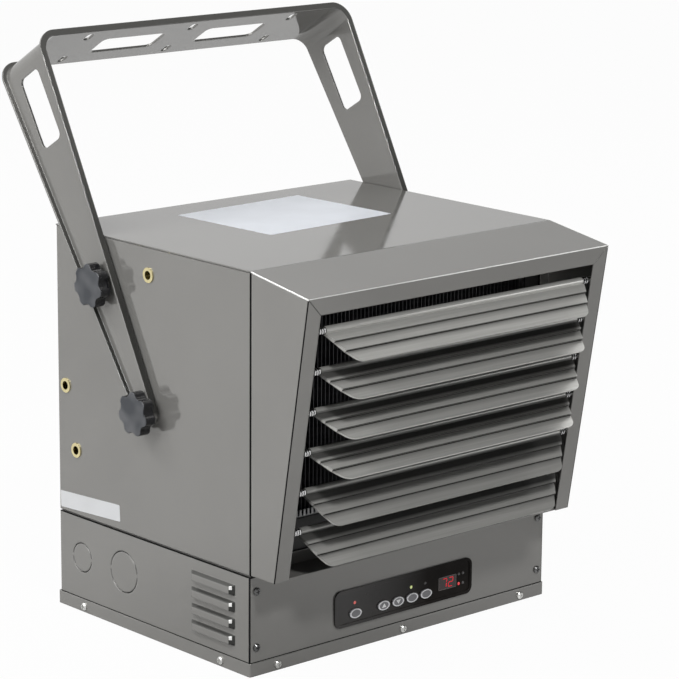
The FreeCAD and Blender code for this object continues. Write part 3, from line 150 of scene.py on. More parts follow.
# Range that most of a noise texture lies in
NOISE_LOW, NOISE_HIGH = 0.3, 0.7
BEVEL_SAMPLES = 6
# Sockets of a Mix node that mixes colours
MIX_A, MIX_B, MIX_OUT = 6, 7, 2


# Node helpers

def new_material(name):
    """Material with a Principled shader on its output."""
    mat = bpy.data.materials.new(name)
    mat.use_nodes = True
    tree = mat.node_tree
    shader = tree.nodes["Principled BSDF"]
    return mat, tree, shader


def add(tree, kind, **values):
    """New node; keys that are sockets set their default, the rest set the node's own settings."""
    node = tree.nodes.new(kind)
    for key, value in values.items():
        if key in node.inputs:
            node.inputs[key].default_value = value
        else:
            setattr(node, key, value)
    return node


def feed(tree, value, socket):
    """Link from another node's output, or a constant."""
    if isinstance(value, bpy.types.NodeSocket):
        tree.links.new(value, socket)
    else:
        socket.default_value = value


def calculated(tree, operation, *values):
    """Math node over outputs and constants."""
    node = add(tree, "ShaderNodeMath", operation=operation)
    for value, socket in zip(values, node.inputs):
        feed(tree, value, socket)
    return node.outputs[0]


def both(tree, a, b):
    return calculated(tree, "MULTIPLY", a, b)


def either(tree, a, b):
    return calculated(tree, "MAXIMUM", a, b)


def near(tree, value, middle, reach):
    """1 within reach of the middle, else 0."""
    return calculated(tree, "COMPARE", value, middle, reach)


def between(tree, value, low, high, low_out, high_out):
    """The range from low to high spread over the range from low_out to high_out, and held at its ends."""
    node = add(tree, "ShaderNodeMapRange")
    node.inputs["From Min"].default_value = low
    node.inputs["From Max"].default_value = high
    node.inputs["To Min"].default_value = low_out
    node.inputs["To Max"].default_value = high_out
    tree.links.new(value, node.inputs["Value"])
    return node.outputs["Result"]


def dot(tree, vector, direction):
    node = add(tree, "ShaderNodeVectorMath", operation="DOT_PRODUCT")
    tree.links.new(vector, node.inputs[0])
    node.inputs[1].default_value = direction
    return node.outputs["Value"]


def object_point(tree):
    return add(tree, "ShaderNodeTexCoord").outputs["Object"]


def face_normal(tree):
    return add(tree, "ShaderNodeTexCoord").outputs["Normal"]


def split_axes(tree, vector):
    split = add(tree, "ShaderNodeSeparateXYZ")
    tree.links.new(vector, split.inputs["Vector"])
    return split.outputs


def stretched(tree, point, scale):
    """Point with each axis scaled, for brushed and drawn grain."""
    node = add(tree, "ShaderNodeMapping", Scale=scale)
    tree.links.new(point, node.inputs["Vector"])
    return node.outputs["Vector"]


def noise(tree, point, scale, detail):
    node = add(tree, "ShaderNodeTexNoise", Scale=scale, Detail=detail)
    tree.links.new(point, node.inputs["Vector"])
    return node.outputs["Fac"]


def two_tone(tree, value, low, high, places=(NOISE_LOW, NOISE_HIGH)):
    """Colour that goes from low to high between two places of the value."""
    ramp = add(tree, "ShaderNodeValToRGB")
    for stop, place, colour in zip(ramp.color_ramp.elements, places, (low, high)):
        stop.position = place
        stop.color = (*colour, 1)
    tree.links.new(value, ramp.inputs["Fac"])
    return ramp.outputs["Color"]


def mixed(tree, under, over, factor, blend="MIX"):
    node = add(tree, "ShaderNodeMix", data_type="RGBA", blend_type=blend)
    feed(tree, factor, node.inputs["Factor"])
    feed(tree, under, node.inputs[MIX_A])
    feed(tree, over, node.inputs[MIX_B])
    return node.outputs[MIX_OUT]


def tinted(tree, under, colour, mask):
    """The colour where the mask is 1, over what lies under it."""
    return mixed(tree, under, (*colour, 1), mask)


def on_lines(tree, point, lines):
    """1 on any of the lines; a line is where its slabs of (direction, place, reach) cross."""
    mask = None
    for slabs in lines:
        line = None
        for direction, place, reach in slabs:
            slab = near(tree, dot(tree, point, direction), place, reach)
            line = slab if line is None else both(tree, line, slab)
        mask = line if mask is None else either(tree, mask, line)
    return mask


def mottled(tree, shader, value, colour, spread):
    """Base colour that drifts a little either side of the colour."""
    darker = [c * (1 - spread) for c in colour]
    lighter = [min(c * (1 + spread), 1) for c in colour]
    skin = two_tone(tree, value, darker, lighter)
    tree.links.new(skin, shader.inputs["Base Color"])
    return skin


def uneven(tree, shader, value, low, high):
    """Roughness that follows a noise."""
    tree.links.new(between(tree, value, NOISE_LOW, NOISE_HIGH, low, high), shader.inputs["Roughness"])


def bumped(tree, shader, height, strength, distance, edge=0.0):
    """Fine relief, over normals that turn round each edge within the edge's radius."""
    bump = add(tree, "ShaderNodeBump", Strength=strength, Distance=distance)
    tree.links.new(height, bump.inputs["Height"])
    if edge:
        turned = add(tree, "ShaderNodeBevel", samples=BEVEL_SAMPLES, Radius=edge)
        tree.links.new(turned.outputs["Normal"], bump.inputs["Normal"])
    tree.links.new(bump.outputs["Normal"], shader.inputs["Normal"])


# Finishes

def vent_painted_shade(tree, skin, point, pressed):
    """Painted shade on faces further out than pressed that don't face straight out, deeper painted shade on each front
    end, and a painted highlight (glint) on part of each front end.
    """
    axes = split_axes(tree, point)
    normal = split_axes(tree, face_normal(tree))
    reach = calculated(tree, "ABSOLUTE", axes["X"])
    out = between(tree, reach, pressed, pressed + VENT_RISE, 0, 1)
    slope = between(tree, calculated(tree, "ABSOLUTE", normal["X"]), *SLOPE_FACING, 0, 1)
    skin = tinted(tree, skin, VENT_SLOPE_PAINTED_SHADE, both(tree, out, slope))
    end = both(tree, out, between(tree, normal["Y"], *END_FACING, 0, 1))
    skin = tinted(tree, skin, VENT_END_PAINTED_SHADE, end)
    height = calculated(tree, "WRAP", axes["Z"], VENT_FOOT + VENT_PITCH, VENT_FOOT)
    spot = both(tree, near(tree, reach, pressed + VENT_GLINT_OUT, VENT_GLINT_WIDE),
                near(tree, height, VENT_FOOT + VENT_GLINT_UP, VENT_GLINT_TALL))
    return tinted(tree, skin, GLINT, both(tree, end, spot))


def flange_painted_shade(tree, skin, point, rim):
    """Painted shade on faces that look along the rim direction, either way, most of all low down."""
    facing = calculated(tree, "ABSOLUTE", dot(tree, face_normal(tree), rim))
    face = between(tree, facing, *FLANGE_FACING, 0, 1)
    height = split_axes(tree, point)["Z"]
    shade = between(tree, height, FLANGE_LOW, FLANGE_HIGH, FLANGE_SHADE_LOW, FLANGE_SHADE_HIGH)
    return tinted(tree, skin, FLANGE_PAINTED_SHADE, both(tree, face, shade))


def powder_coat(name, colour=PAINT, rough=GLOSS, flake=FLAKE, edge=EDGE, seams=(), glints=(), pressed=None, rim=None):
    """Stoved paint with a share of metal flake. Seams are dark lines where a joint's gap shows, or painted shade along
    a fold;
    glints are painted highlights along folds; slopes further out than pressed (vents) and faces along rim (flanges) get
    painted shade."""
    mat, tree, shader = new_material(name)
    point = object_point(tree)
    skin = mottled(tree, shader, noise(tree, point, scale=9, detail=5), colour, spread=0.03)
    uneven(tree, shader, noise(tree, point, scale=40, detail=4), rough - 0.02, rough + 0.03)
    bumped(tree, shader, noise(tree, point, scale=700, detail=2), strength=0.02, distance=0.2 * MM, edge=edge)
    shader.inputs["Metallic"].default_value = flake
    if pressed:
        skin = vent_painted_shade(tree, skin, point, pressed)
    if rim:
        skin = flange_painted_shade(tree, skin, point, rim)
    if glints:
        skin = tinted(tree, skin, GLINT, on_lines(tree, point, glints))
    if seams:
        gap = on_lines(tree, point, seams)
        skin = tinted(tree, skin, SEAM, gap)
        tree.links.new(between(tree, gap, 0, 1, flake, 0), shader.inputs["Metallic"])
        tree.links.new(between(tree, gap, 0, 1, SPECULAR, SEAM_SPECULAR), shader.inputs["Specular IOR Level"])
    tree.links.new(skin, shader.inputs["Base Color"])
    return mat


def dull_paint(name, colour, rough):
    """Paint with no flake and sharp edges."""
    return powder_coat(name, colour, rough, flake=0.0, edge=0.0)


def louvre_coat(name, blade, tilt, shades, tone):
    """Satin paint drawn along the blade, with painted light and shade in tones down the blade and painted shade on its
    underside.
    """
    mat, tree, shader = new_material(name)
    point = object_point(tree)
    streak = noise(tree, stretched(tree, point, (14, 500, 500)), scale=1, detail=3)
    skin = mottled(tree, shader, streak, LOUVRE_PAINT, spread=0.06)
    slope = math.radians(tilt)
    outward = Vector((0, -math.cos(slope), -math.sin(slope)))
    lip = max(outward.dot(v.co) for v in blade.data.vertices)
    ramp = add(tree, "ShaderNodeValToRGB")
    stops = ramp.color_ramp.elements
    greys = [(place / LOUVRE_CHORD, [tone * shade] * 3 + [1]) for place, shade in sorted(shades)]
    stops[0].color = greys[0][1]
    stops[1].color = greys[-1][1]
    for place, grey in greys[1:-1]:
        stops.new(place).color = grey
    down = between(tree, dot(tree, point, outward), lip - LOUVRE_CHORD * MM, lip, 0, 1)
    tree.links.new(down, ramp.inputs["Fac"])
    shaded = mixed(tree, skin, ramp.outputs["Color"], 1, "MULTIPLY")
    facing = dot(tree, face_normal(tree), (0, -math.sin(slope), math.cos(slope)))
    under = between(tree, facing, *UNDER_FACING, 0, 1)
    tree.links.new(tinted(tree, shaded, LOUVRE_UNDERSIDE_PAINTED_SHADE, under), shader.inputs["Base Color"])
    uneven(tree, shader, streak, 0.17, 0.25)
    bumped(tree, shader, streak, strength=0.03, distance=0.2 * MM)
    shader.inputs["Metallic"].default_value = LOUVRE_FLAKE
    return mat


def bare_metal(name, colour, rough, grain):
    """Plain metal with drawn grain and uneven polish."""
    mat, tree, shader = new_material(name)
    streak = noise(tree, stretched(tree, object_point(tree), grain), scale=1, detail=4)
    mottled(tree, shader, streak, colour, spread=0.12)
    uneven(tree, shader, streak, rough - 0.06, rough + 0.08)
    bumped(tree, shader, streak, strength=0.08, distance=0.2 * MM)
    shader.inputs["Metallic"].default_value = 1
    return mat


def galvanised(name, colour):
    """Zinc sheet with its spangle."""
    mat, tree, shader = new_material(name)
    cells = add(tree, "ShaderNodeTexVoronoi", Scale=90)
    tree.links.new(object_point(tree), cells.inputs["Vector"])
    spangle = cells.outputs["Distance"]
    mottled(tree, shader, spangle, colour, spread=0.14)
    tree.links.new(between(tree, spangle, 0, 0.8, 0.3, 0.5), shader.inputs["Roughness"])
    shader.inputs["Metallic"].default_value = 1
    return mat


def moulded(name, colour, rough, grain, depth):
    """Moulded plastic with a spark-eroded grain."""
    mat, tree, shader = new_material(name)
    point = object_point(tree)
    mottled(tree, shader, noise(tree, point, scale=60, detail=3), colour, spread=0.12)
    fine = noise(tree, point, scale=grain, detail=3)
    uneven(tree, shader, fine, rough - 0.05, rough + 0.06)
    bumped(tree, shader, fine, strength=depth, distance=0.3 * MM)
    return mat


def star_knob_plastic(name):
    """Black glossy moulding whose flat outer face is duller, and greyer in patches: painted sheen of the light on it.
    """
    mat, tree, shader = new_material(name)
    point = object_point(tree)
    out = calculated(tree, "ABSOLUTE", split_axes(tree, point)["X"])
    face = between(tree, out, KNOB_FACE - 0.7 * MM, KNOB_FACE - 0.2 * MM, 0, 1)
    black = mottled(tree, shader, noise(tree, point, scale=120, detail=3), KNOB_BLACK, spread=0.2)
    cloud = noise(tree, stretched(tree, point, (1, 40, 40)), scale=1.4, detail=1)
    grey = two_tone(tree, cloud, *KNOB_FACE_PAINTED_SHEEN, KNOB_CLOUD)
    tree.links.new(mixed(tree, black, grey, face), shader.inputs["Base Color"])
    tree.links.new(between(tree, face, 0, 1, 0.12, 0.3), shader.inputs["Roughness"])
    grain = noise(tree, point, scale=1400, detail=3)
    bumped(tree, shader, grain, strength=0.02, distance=0.3 * MM, edge=1.2 * MM)
    return mat


def spring_steel(name):
    """Steel with painted light and shade along the pin: bright cups as painted highlights, dark gaps between them as
    painted shade.
    """
    mat, tree, shader = new_material(name)
    point = object_point(tree)
    bands = add(tree, "ShaderNodeTexWave", Scale=math.pi / 10 / SPRING_CUP_PITCH, Distortion=0.0)
    tree.links.new(point, bands.inputs["Vector"])
    mottled(tree, shader, bands.outputs["Fac"], SPRING_LIGHT_AND_SHADE, spread=0.98)
    uneven(tree, shader, noise(tree, point, scale=800, detail=3), 0.15, 0.3)
    shader.inputs["Metallic"].default_value = 1
    return mat


def ringed_button(name, along):
    """Grey key with a pale printed ring round its face."""
    mat, tree, shader = new_material(name)
    point = object_point(tree)
    grain = noise(tree, point, scale=1500, detail=3)
    key = mottled(tree, shader, grain, KEY_GREY, spread=0.1)
    move = add(tree, "ShaderNodeMapping")
    move.inputs["Location"].default_value = (-along / KEY_HALF[0], 0, -KEYS_UP / KEY_HALF[1])
    move.inputs["Scale"].default_value = (1 / KEY_HALF[0], 0, 1 / KEY_HALF[1])
    tree.links.new(point, move.inputs["Vector"])
    away = add(tree, "ShaderNodeVectorMath", operation="LENGTH")
    tree.links.new(move.outputs["Vector"], away.inputs[0])
    ring = near(tree, away.outputs["Value"], RING_MIDDLE, RING_HALF)
    front = near(tree, split_axes(tree, point)["Y"], BUTTON_FACE, 0.6 * MM)
    tree.links.new(tinted(tree, key, RING_PALE, both(tree, ring, front)), shader.inputs["Base Color"])
    uneven(tree, shader, grain, 0.28, 0.4)
    bumped(tree, shader, grain, strength=0.05, distance=0.3 * MM)
    return mat


def panel_plastic(name):
    """Near-black glossy panel that mirrors the studio less and less towards its right end."""
    mat, tree, shader = new_material(name)
    point = object_point(tree)
    fine = noise(tree, point, scale=1600, detail=3)
    mottled(tree, shader, noise(tree, point, scale=60, detail=3), PANEL_BLACK, spread=0.15)
    uneven(tree, shader, fine, 0.12, 0.2)
    mirror = between(tree, split_axes(tree, point)["X"], *PANEL_FADE, *PANEL_MIRROR)
    tree.links.new(mirror, shader.inputs["Specular IOR Level"])
    bumped(tree, shader, fine, strength=0.02, distance=0.3 * MM, edge=0.6 * MM)
    return mat


def heated_fin(name):
    """Aluminium fins dulled and darkened by heat, in streaks."""
    mat, tree, shader = new_material(name)
    streak = noise(tree, stretched(tree, object_point(tree), (40, 40, 400)), scale=1, detail=4)
    mottled(tree, shader, streak, FIN_GREY, spread=0.3)
    uneven(tree, shader, streak, 0.42, 0.6)
    shader.inputs["Metallic"].default_value = 0.85
    return mat


def lamp_lenses(name):
    """Indicator lenses; each one's place says which colour it is and whether it is lit."""
    mat, tree, shader = new_material(name)
    point = object_point(tree)
    axes = split_axes(tree, point)
    colour = mottled(tree, shader, noise(tree, point, scale=700, detail=2), LAMP_DARK, spread=0.3)
    lit = both(tree, near(tree, axes["X"], LAMP_LIT[0], LAMP_LIT_REACH), near(tree, axes["Z"], LAMP_LIT[1], LAMP_REACH))
    power = near(tree, axes["X"], LAMP_POWER, LAMP_REACH)
    mode = near(tree, axes["X"], LAMP_MODE, LAMP_REACH)
    colour = tinted(tree, colour, LAMP_POWER_RED, power)
    colour = tinted(tree, colour, LAMP_MODE_GREEN, mode)
    colour = tinted(tree, colour, LAMP_LIT_RED, lit)
    tree.links.new(colour, shader.inputs["Base Color"])
    tree.links.new(colour, shader.inputs["Emission Color"])
    glowing = either(tree, either(tree, lit, power), mode)
    tree.links.new(between(tree, glowing, 0, 1, 0, LAMP_GLOW), shader.inputs["Emission Strength"])
    shader.inputs["Roughness"].default_value = 0.2
    return mat


def lit_segment(name):
    """Glowing display segment, a little uneven."""
    mat, tree, shader = new_material(name)
    glow = mottled(tree, shader, noise(tree, object_point(tree), scale=900, detail=2), SEGMENT_RED, spread=0.25)
    tree.links.new(glow, shader.inputs["Emission Color"])
    shader.inputs["Emission Strength"].default_value = SEGMENT_GLOW
    return mat


def paper(name, colour):
    """Blank satin label."""
    mat, tree, shader = new_material(name)
    point = object_point(tree)
    mottled(tree, shader, noise(tree, point, scale=35, detail=4), colour, spread=0.03)
    uneven(tree, shader, noise(tree, point, scale=1800, detail=3), 0.34, 0.44)
    bumped(tree, shader, noise(tree, point, scale=18, detail=2), strength=0.03, distance=2 * MM)
    return mat


def circuit_board(name):
    """Green board with squarish patches."""
    mat, tree, shader = new_material(name)
    cells = add(tree, "ShaderNodeTexVoronoi", Scale=160, distance="CHEBYCHEV")
    tree.links.new(object_point(tree), cells.inputs["Vector"])
    mottled(tree, shader, cells.outputs["Distance"], BOARD_GREEN, spread=0.4)
    shader.inputs["Roughness"].default_value = 0.3
    return mat


# Finish of each material slot
finish = {
    "cabinet_paint": powder_coat("cabinet_paint"),
    # Yoke: painted shade on the faces of its flanges
    "yoke_paint": powder_coat("yoke_paint", rim=YOKE_FLANGE),
    "zinc_screw": bare_metal("zinc_screw", (0.72, 0.72, 0.70), rough=0.28, grain=(900, 900, 900)),
    "dark_screw": bare_metal("dark_screw", (0.16, 0.16, 0.16), rough=0.25, grain=(900, 900, 900)),
    "bright_steel": bare_metal("bright_steel", (0.62, 0.62, 0.61), rough=0.25, grain=(150, 900, 900)),
    "fin_aluminium": heated_fin("fin_aluminium"),
    "element_steel": bare_metal("element_steel", (0.12, 0.11, 0.105), rough=0.5, grain=(30, 500, 500)),
    "rail_steel": galvanised("rail_steel", (0.55, 0.55, 0.55)),
    "thermostat": moulded("thermostat", (0.03, 0.03, 0.03), rough=0.45, grain=1200, depth=0.1),
    "galvanised": galvanised("galvanised", (0.55, 0.56, 0.57)),
    "black_wire": dull_paint("black_wire", (0.02, 0.02, 0.021), rough=0.3),
    "motor_case": dull_paint("motor_case", (0.035, 0.035, 0.037), rough=0.35),
    "fan_blade": bare_metal("fan_blade", (0.5, 0.5, 0.5), rough=0.38, grain=(300, 300, 300)),
    "brass_insert": bare_metal("brass_insert", (0.76, 0.67, 0.38), rough=0.18, grain=(900, 300, 300)),
    "knob_plastic": star_knob_plastic("knob_plastic"),
    "panel_plastic": panel_plastic("panel_plastic"),
    "switch_plastic": moulded("switch_plastic", (0.05, 0.05, 0.05), rough=0.5, grain=1200, depth=0.1),
    "led_lens": lamp_lenses("led_lens"),
    "display_glass": moulded("display_glass", (0.02, 0.003, 0.003), rough=0.12, grain=1200, depth=0.01),
    "board": circuit_board("board"),
    "terminal_plastic": moulded("terminal_plastic", (0.03, 0.03, 0.03), rough=0.5, grain=1000, depth=0.12),
    "relay_plastic": moulded("relay_plastic", (0.04, 0.04, 0.045), rough=0.3, grain=1000, depth=0.05),
}

# Finishes of single nodes: panels with the dark line of the joint at their edges and painted shade and highlights on
# vents and folds, the duct painted dark for shade, springs and louvres with painted light and shade, and keys
side_seams = [[(ALONG_Y, SIDE_FRONT, 1.3 * MM)], [(ALONG_Z, SIDE_FOOT, 0.6 * MM)], [(ALONG_Z, SIDE_HEAD, 0.4 * MM)]]
base_seams = [[(ALONG_Z, BASE_HEAD, 0.5 * MM)], [(ALONG_Z, TRAY_HEAD, 0.6 * MM)]]
base_corner = [[(ALONG_Y, BASE_FRONT, 0.9 * MM)]]
front_corners = [[(ALONG_X, side, 0.5 * MM)] for side in (SIDE_FACE, -SIDE_FACE)]
lid_seams = [[(ALONG_Y, LID_FRONT, 0.4 * MM)]]
# Painted highlights along the roof's side edges and along its fold into the front
roof_glints = [[(ALONG_X, side, 0.6 * MM)] for side in (SIDE_FACE, -SIDE_FACE)]
roof_glints += [[(HOOD_OUT, HOOD_FACE, 0.6 * MM), (HOOD_UP, HOOD_ROOF, 0.6 * MM)]]


def cheek_joint_and_fold_shade(side):
    """Dark lines of a hood cheek: the joint behind with the cabinet, and painted shade down the front edge's fold on
    its own side.
    """
    return [[(ALONG_Y, HOOD_BACK, 0.8 * MM)], [(HOOD_OUT, HOOD_FACE, 0.9 * MM), (ALONG_X, side, 0.8 * MM)]]


special = {
    "cabinet_left_side": powder_coat("side_paint", seams=side_seams),
    # Base: vents with painted shade on their slopes and ends and a painted highlight on each end
    "base_shell": powder_coat("base_paint", edge=PRESSED_EDGE, seams=base_seams + base_corner, pressed=-SIDE_FACE),
    "base_front_panel": powder_coat("base_front_paint", seams=base_seams + front_corners),
    "cabinet_top": powder_coat("lid_paint", seams=lid_seams),
    # Roof: painted highlights along its folds
    "hood_top": powder_coat("roof_paint", glints=roof_glints),
    # Cheeks: dark joint line behind, painted shade along the front fold
    "hood_left_side": powder_coat("left_cheek_paint", seams=cheek_joint_and_fold_shade(SIDE_FACE)),
    "hood_right_side": powder_coat("right_cheek_paint", seams=cheek_joint_and_fold_shade(-SIDE_FACE)),
    # Duct wall behind the fins painted near black for the shade inside
    "front_bulkhead": dull_paint("duct_painted_shade", (0.03, 0.03, 0.029), rough=0.4),
    "louvre_springs": spring_steel("spring_steel"),
}
special["cabinet_right_side"] = special["cabinet_left_side"]
for number, (tilt, tone) in enumerate(zip(LOUVRE_TILTS, LOUVRE_TONES), 1):
    node = "louvre_%d" % number
    shades = LOUVRE_SHADE if number == 1 else LOUVRE_SHADE + COVERED_SHADE
    special[node] = louvre_coat("blade_%d" % number, nodes[node], tilt, shades, tone)
for number, along in enumerate(KEYS_ALONG, 1):
    special["button_%d" % number] = ringed_button("key_%d" % number, along)

for part in frame["record"]["subparts"]:
    obj = nodes[part["node"]]
    obj.data.materials.clear()
    obj.data.materials.append(special.get(part["node"]) or finish[part["material_slot"]])


# Small broken edges on the mouldings, so that they catch light: width by material slot
EDGE_BREAK = {"knob_plastic": 0.5 * MM, "panel_plastic": 0.4 * MM, "button_plastic": 0.5 * MM}
CREASE = math.radians(25)
BREAK_ANGLE = math.radians(35)
WELD_REACH = 0.01 * MM


def mark_creases(mesh):
    """Sharp flags where two faces meet at more than the crease angle, found across the seams of the mesh too."""
    spots = [tuple(round(c / WELD_REACH) for c in v.co) for v in mesh.vertices]

    def line(a, b):
        return min(spots[a], spots[b]), max(spots[a], spots[b])

    normals = {}
    for face in mesh.polygons:
        for a, b in face.edge_keys:
            normals.setdefault(line(a, b), []).append(face.normal.copy())
    for edge in mesh.edges:
        met = normals.get(line(*edge.vertices), [])
        edge.use_edge_sharp = len(met) != 2 or met[0].angle(met[1], 0) > CREASE


for part in frame["record"]["subparts"]:
    if part["material_slot"] in EDGE_BREAK:
        obj = nodes[part["node"]]
        mark_creases(obj.data)
        weld = obj.modifiers.new("weld", "WELD")
        weld.merge_threshold = WELD_REACH
        bevel = obj.modifiers.new("broken_edge", "BEVEL")
        bevel.width = EDGE_BREAK[part["material_slot"]]
        bevel.segments = 2
        bevel.limit_method = "ANGLE"
        bevel.angle_limit = BREAK_ANGLE
        bevel.harden_normals = True


# Pieces that belong to the picture alone

def piece(name, mesh, material, body):
    """Extra visible object that belongs to a slot and rides with a body."""
    obj = bpy.data.objects.new(name, mesh)
    scene.collection.objects.link(obj)
    obj.data.materials.append(material)
    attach(obj, body)


def plate_mesh(name, outlines, place, depth):
    """Thin plates: each outline of (u, v) points, put in the row frame by place(u, v, w) and given a depth."""
    bm = bmesh.new()
    for outline in outlines:
        front = [bm.verts.new(place(u, v, depth)) for u, v in outline]
        back = [bm.verts.new(place(u, v, 0)) for u, v in outline]
        bm.faces.new(front)
        bm.faces.new(back[::-1])
        count = len(outline)
        for k in range(count):
            bm.faces.new([front[k], back[k], back[(k + 1) % count], front[(k + 1) % count]])
    bmesh.ops.recalc_face_normals(bm, faces=bm.faces)
    mesh = bpy.data.meshes.new(name)
    bm.to_mesh(mesh)
    bm.free()
    return mesh


CORNER_STEPS = 4


def rounded(width, height, radius, turn):
    """Rounded rectangle about the origin, turned by an angle in degrees."""
    points = []
    spin = math.radians(turn)
    for cu, cv, start in ((1, 1, 0), (-1, 1, 90), (-1, -1, 180), (1, -1, 270)):
        for step in range(CORNER_STEPS + 1):
            a = math.radians(start + step * 90 / CORNER_STEPS)
            u = cu * (width / 2 - radius) + radius * math.cos(a)
            v = cv * (height / 2 - radius) + radius * math.sin(a)
            points.append((u * math.cos(spin) - v * math.sin(spin), u * math.sin(spin) + v * math.cos(spin)))
    return points


# Blank labels on the left side and the lid; a label's place is its middle
LABEL_DEPTH = 0.12 * MM
SIDE_LABEL_PLACE = (89.2 * MM, 103.0 * MM)
TOP_LABEL_PLACE = (9.5 * MM, 38.2 * MM)


def on_side(u, v, w):
    return SIDE_FACE - w, SIDE_LABEL_PLACE[0] + u, SIDE_LABEL_PLACE[1] + v


def on_lid(u, v, w):
    return TOP_LABEL_PLACE[0] + u, TOP_LABEL_PLACE[1] + v, LID_FACE + w


side_outline = rounded(width=88.0 * MM, height=15.3 * MM, radius=1.2 * MM, turn=-3.2)
top_outline = rounded(width=151.0 * MM, height=125.0 * MM, radius=2.0 * MM, turn=2.4)
LABELS = (
    ("side_label", side_outline, on_side, (0.62, 0.63, 0.64)),
    ("top_label", top_outline, on_lid, (0.74, 0.77, 0.82)),
)
for name, outline, place, colour in LABELS:
    piece(name, plate_mesh(name, [outline], place, LABEL_DEPTH), paper(name, colour), "housing")

# Two seven-segment digits
DIGIT_W, DIGIT_H, STROKE, LEAN = 5.2 * MM, 8.2 * MM, 0.9 * MM, 0.12
STROKE_GAP = 0.12 * MM
PRINT_DEPTH = 0.05 * MM
SEGMENTS = {7: "abc", 2: "abged"}
DIGITS = (("digit_left", 7, 51.4 * MM), ("digit_right", 2, 59.2 * MM))


def segment(letter):
    """Six-sided stroke of one segment about the digit's middle."""
    w, h, s = DIGIT_W / 2, DIGIT_H / 2, STROKE / 2
    ends = {"a": ((-w, h), (w, h)), "g": ((-w, 0), (w, 0)), "d": ((-w, -h), (w, -h)), "b": ((w, 0), (w, h)),
            "c": ((w, -h), (w, 0)), "e": ((-w, -h), (-w, 0))}
    (u0, v0), (u1, v1) = ends[letter]
    gap = STROKE_GAP
    if v0 == v1:
        return [(u0 + gap, v0), (u0 + s + gap, v0 + s), (u1 - s - gap, v0 + s), (u1 - gap, v0), (u1 - s - gap, v0 - s),
                (u0 + s + gap, v0 - s)]
    return [(u0, v0 + gap), (u0 + s, v0 + s + gap), (u0 + s, v1 - s - gap), (u0, v1 - gap), (u0 - s, v1 - s - gap),
            (u0 - s, v0 + s + gap)]


def on_display(middle, lean):
    return lambda u, v, w: (middle + u + v * lean, DISPLAY_FACE - w, DISPLAY_MIDDLE[1] + v)


glow = lit_segment("display_segment")
for name, number, middle in DIGITS:
    strokes = [segment(c) for c in SEGMENTS[number]]
    piece(name, plate_mesh(name, strokes, on_display(middle, LEAN), PRINT_DEPTH), glow, "housing")

# Pale line round the display window: half its width and height, and half the line's width
WINDOW_W, WINDOW_H, LINE = 10.7 * MM, 5.75 * MM, 0.4 * MM


def bar(u0, u1, v0, v1):
    return [(u0, v0), (u1, v0), (u1, v1), (u0, v1)]


strips = [bar(-WINDOW_W, WINDOW_W, s * WINDOW_H - LINE, s * WINDOW_H + LINE) for s in (-1, 1)]
strips += [bar(s * WINDOW_W - LINE, s * WINDOW_W + LINE, -WINDOW_H, WINDOW_H) for s in (-1, 1)]
piece("display_line", plate_mesh("display_line", strips, on_display(DISPLAY_MIDDLE[0], 0), PRINT_DEPTH),
      moulded("display_line", (0.10, 0.09, 0.085), rough=0.4, grain=1000, depth=0.02), "housing")

# Arrow marks on two of the buttons: half width, foot and tip
ARROW_HALF, ARROW_FOOT, ARROW_TIP = 2.6 * MM, 1.7 * MM, 2.1 * MM
ARROW_DEPTH = 0.06 * MM


def on_key(along):
    return lambda u, v, w: (along + u, BUTTON_FACE - w, KEYS_UP + v)


mark = moulded("button_mark", (0.9, 0.9, 0.9), rough=0.5, grain=1000, depth=0.02)
for number, up in ((2, 1), (3, -1)):
    name = "arrow_%d" % number
    arrow = [(-ARROW_HALF, -ARROW_FOOT * up), (ARROW_HALF, -ARROW_FOOT * up), (0.0, ARROW_TIP * up)]
    mesh = plate_mesh(name, [arrow], on_key(KEYS_ALONG[number - 1]), ARROW_DEPTH)
    piece(name, mesh, mark, "key_%d" % number)


# Floor, light and camera

FLOOR_REACH = 6.0
FLOOR_DROP = 0.3 * MM
FLOOR_GREY = (0.5, 0.5, 0.5)
FLOOR_WHITE = 0.97
AMBIENT = 0.12
SKY_MIRRORED = 0.76
DARK_SIDE = (0.69, -0.69, 0.2)
DARK_FACING = (0.0, 0.7)
# The floor in reflections: from and to in metres, and the share of white at each
FLOOR_BEHIND = (0.0, 0.25, 0.08, 0.78)
FLOOR_STRIP_START = (-0.16, 0.12, 0, 0.72)
FLOOR_STRIP_END = (0.3, 0.42, 1, 0.5)
# Name, place, target, width and height in metres, and power in watts
SOFTBOXES = (
    ("back_rim", (-1.3, 0.9, 1.8), (0, 0, 0.35), 1.0, 0.5, 14),
    ("left_key", (-2.4, 0.2, 1.3), (0, 0, 0.25), 1.8, 1.8, 37),
    ("left_glint", (-1.6, -0.5, 1.8), (-0.18, -0.05, 0.1), 0.5, 0.5, 7),
    ("back_fill", (0.3, 2.4, 1.6), (0, 0.1, 0.2), 1.4, 1.0, 14),
    ("right_side", (2.2, 0.6, 1.4), (0.15, 0, 0.2), 1.2, 1.2, 12),
    ("right_fill", (1.7, -1.5, 0.5), (0.1, -0.14, 0.1), 0.8, 0.8, 5),
    ("front_top", (-0.5, -1.8, 2.1), (0, -0.15, 0.2), 0.5, 0.3, 29),
)
CAMERA_PLACE = (-1.7458, -1.9921, 0.8667)
CAMERA_ANGLES = (-41.933, 13.167, 0.472)
CAMERA_LENS, CAMERA_SENSOR = 158.2, 36


def seen_directly(tree, mirrored):
    """1 for what the camera sees, the mirrored share for what shows in a reflection, and 0 for scattered light."""
    path = add(tree, "ShaderNodeLightPath")
    return either(tree, path.outputs["Is Camera Ray"], both(tree, path.outputs["Is Glossy Ray"], mirrored))


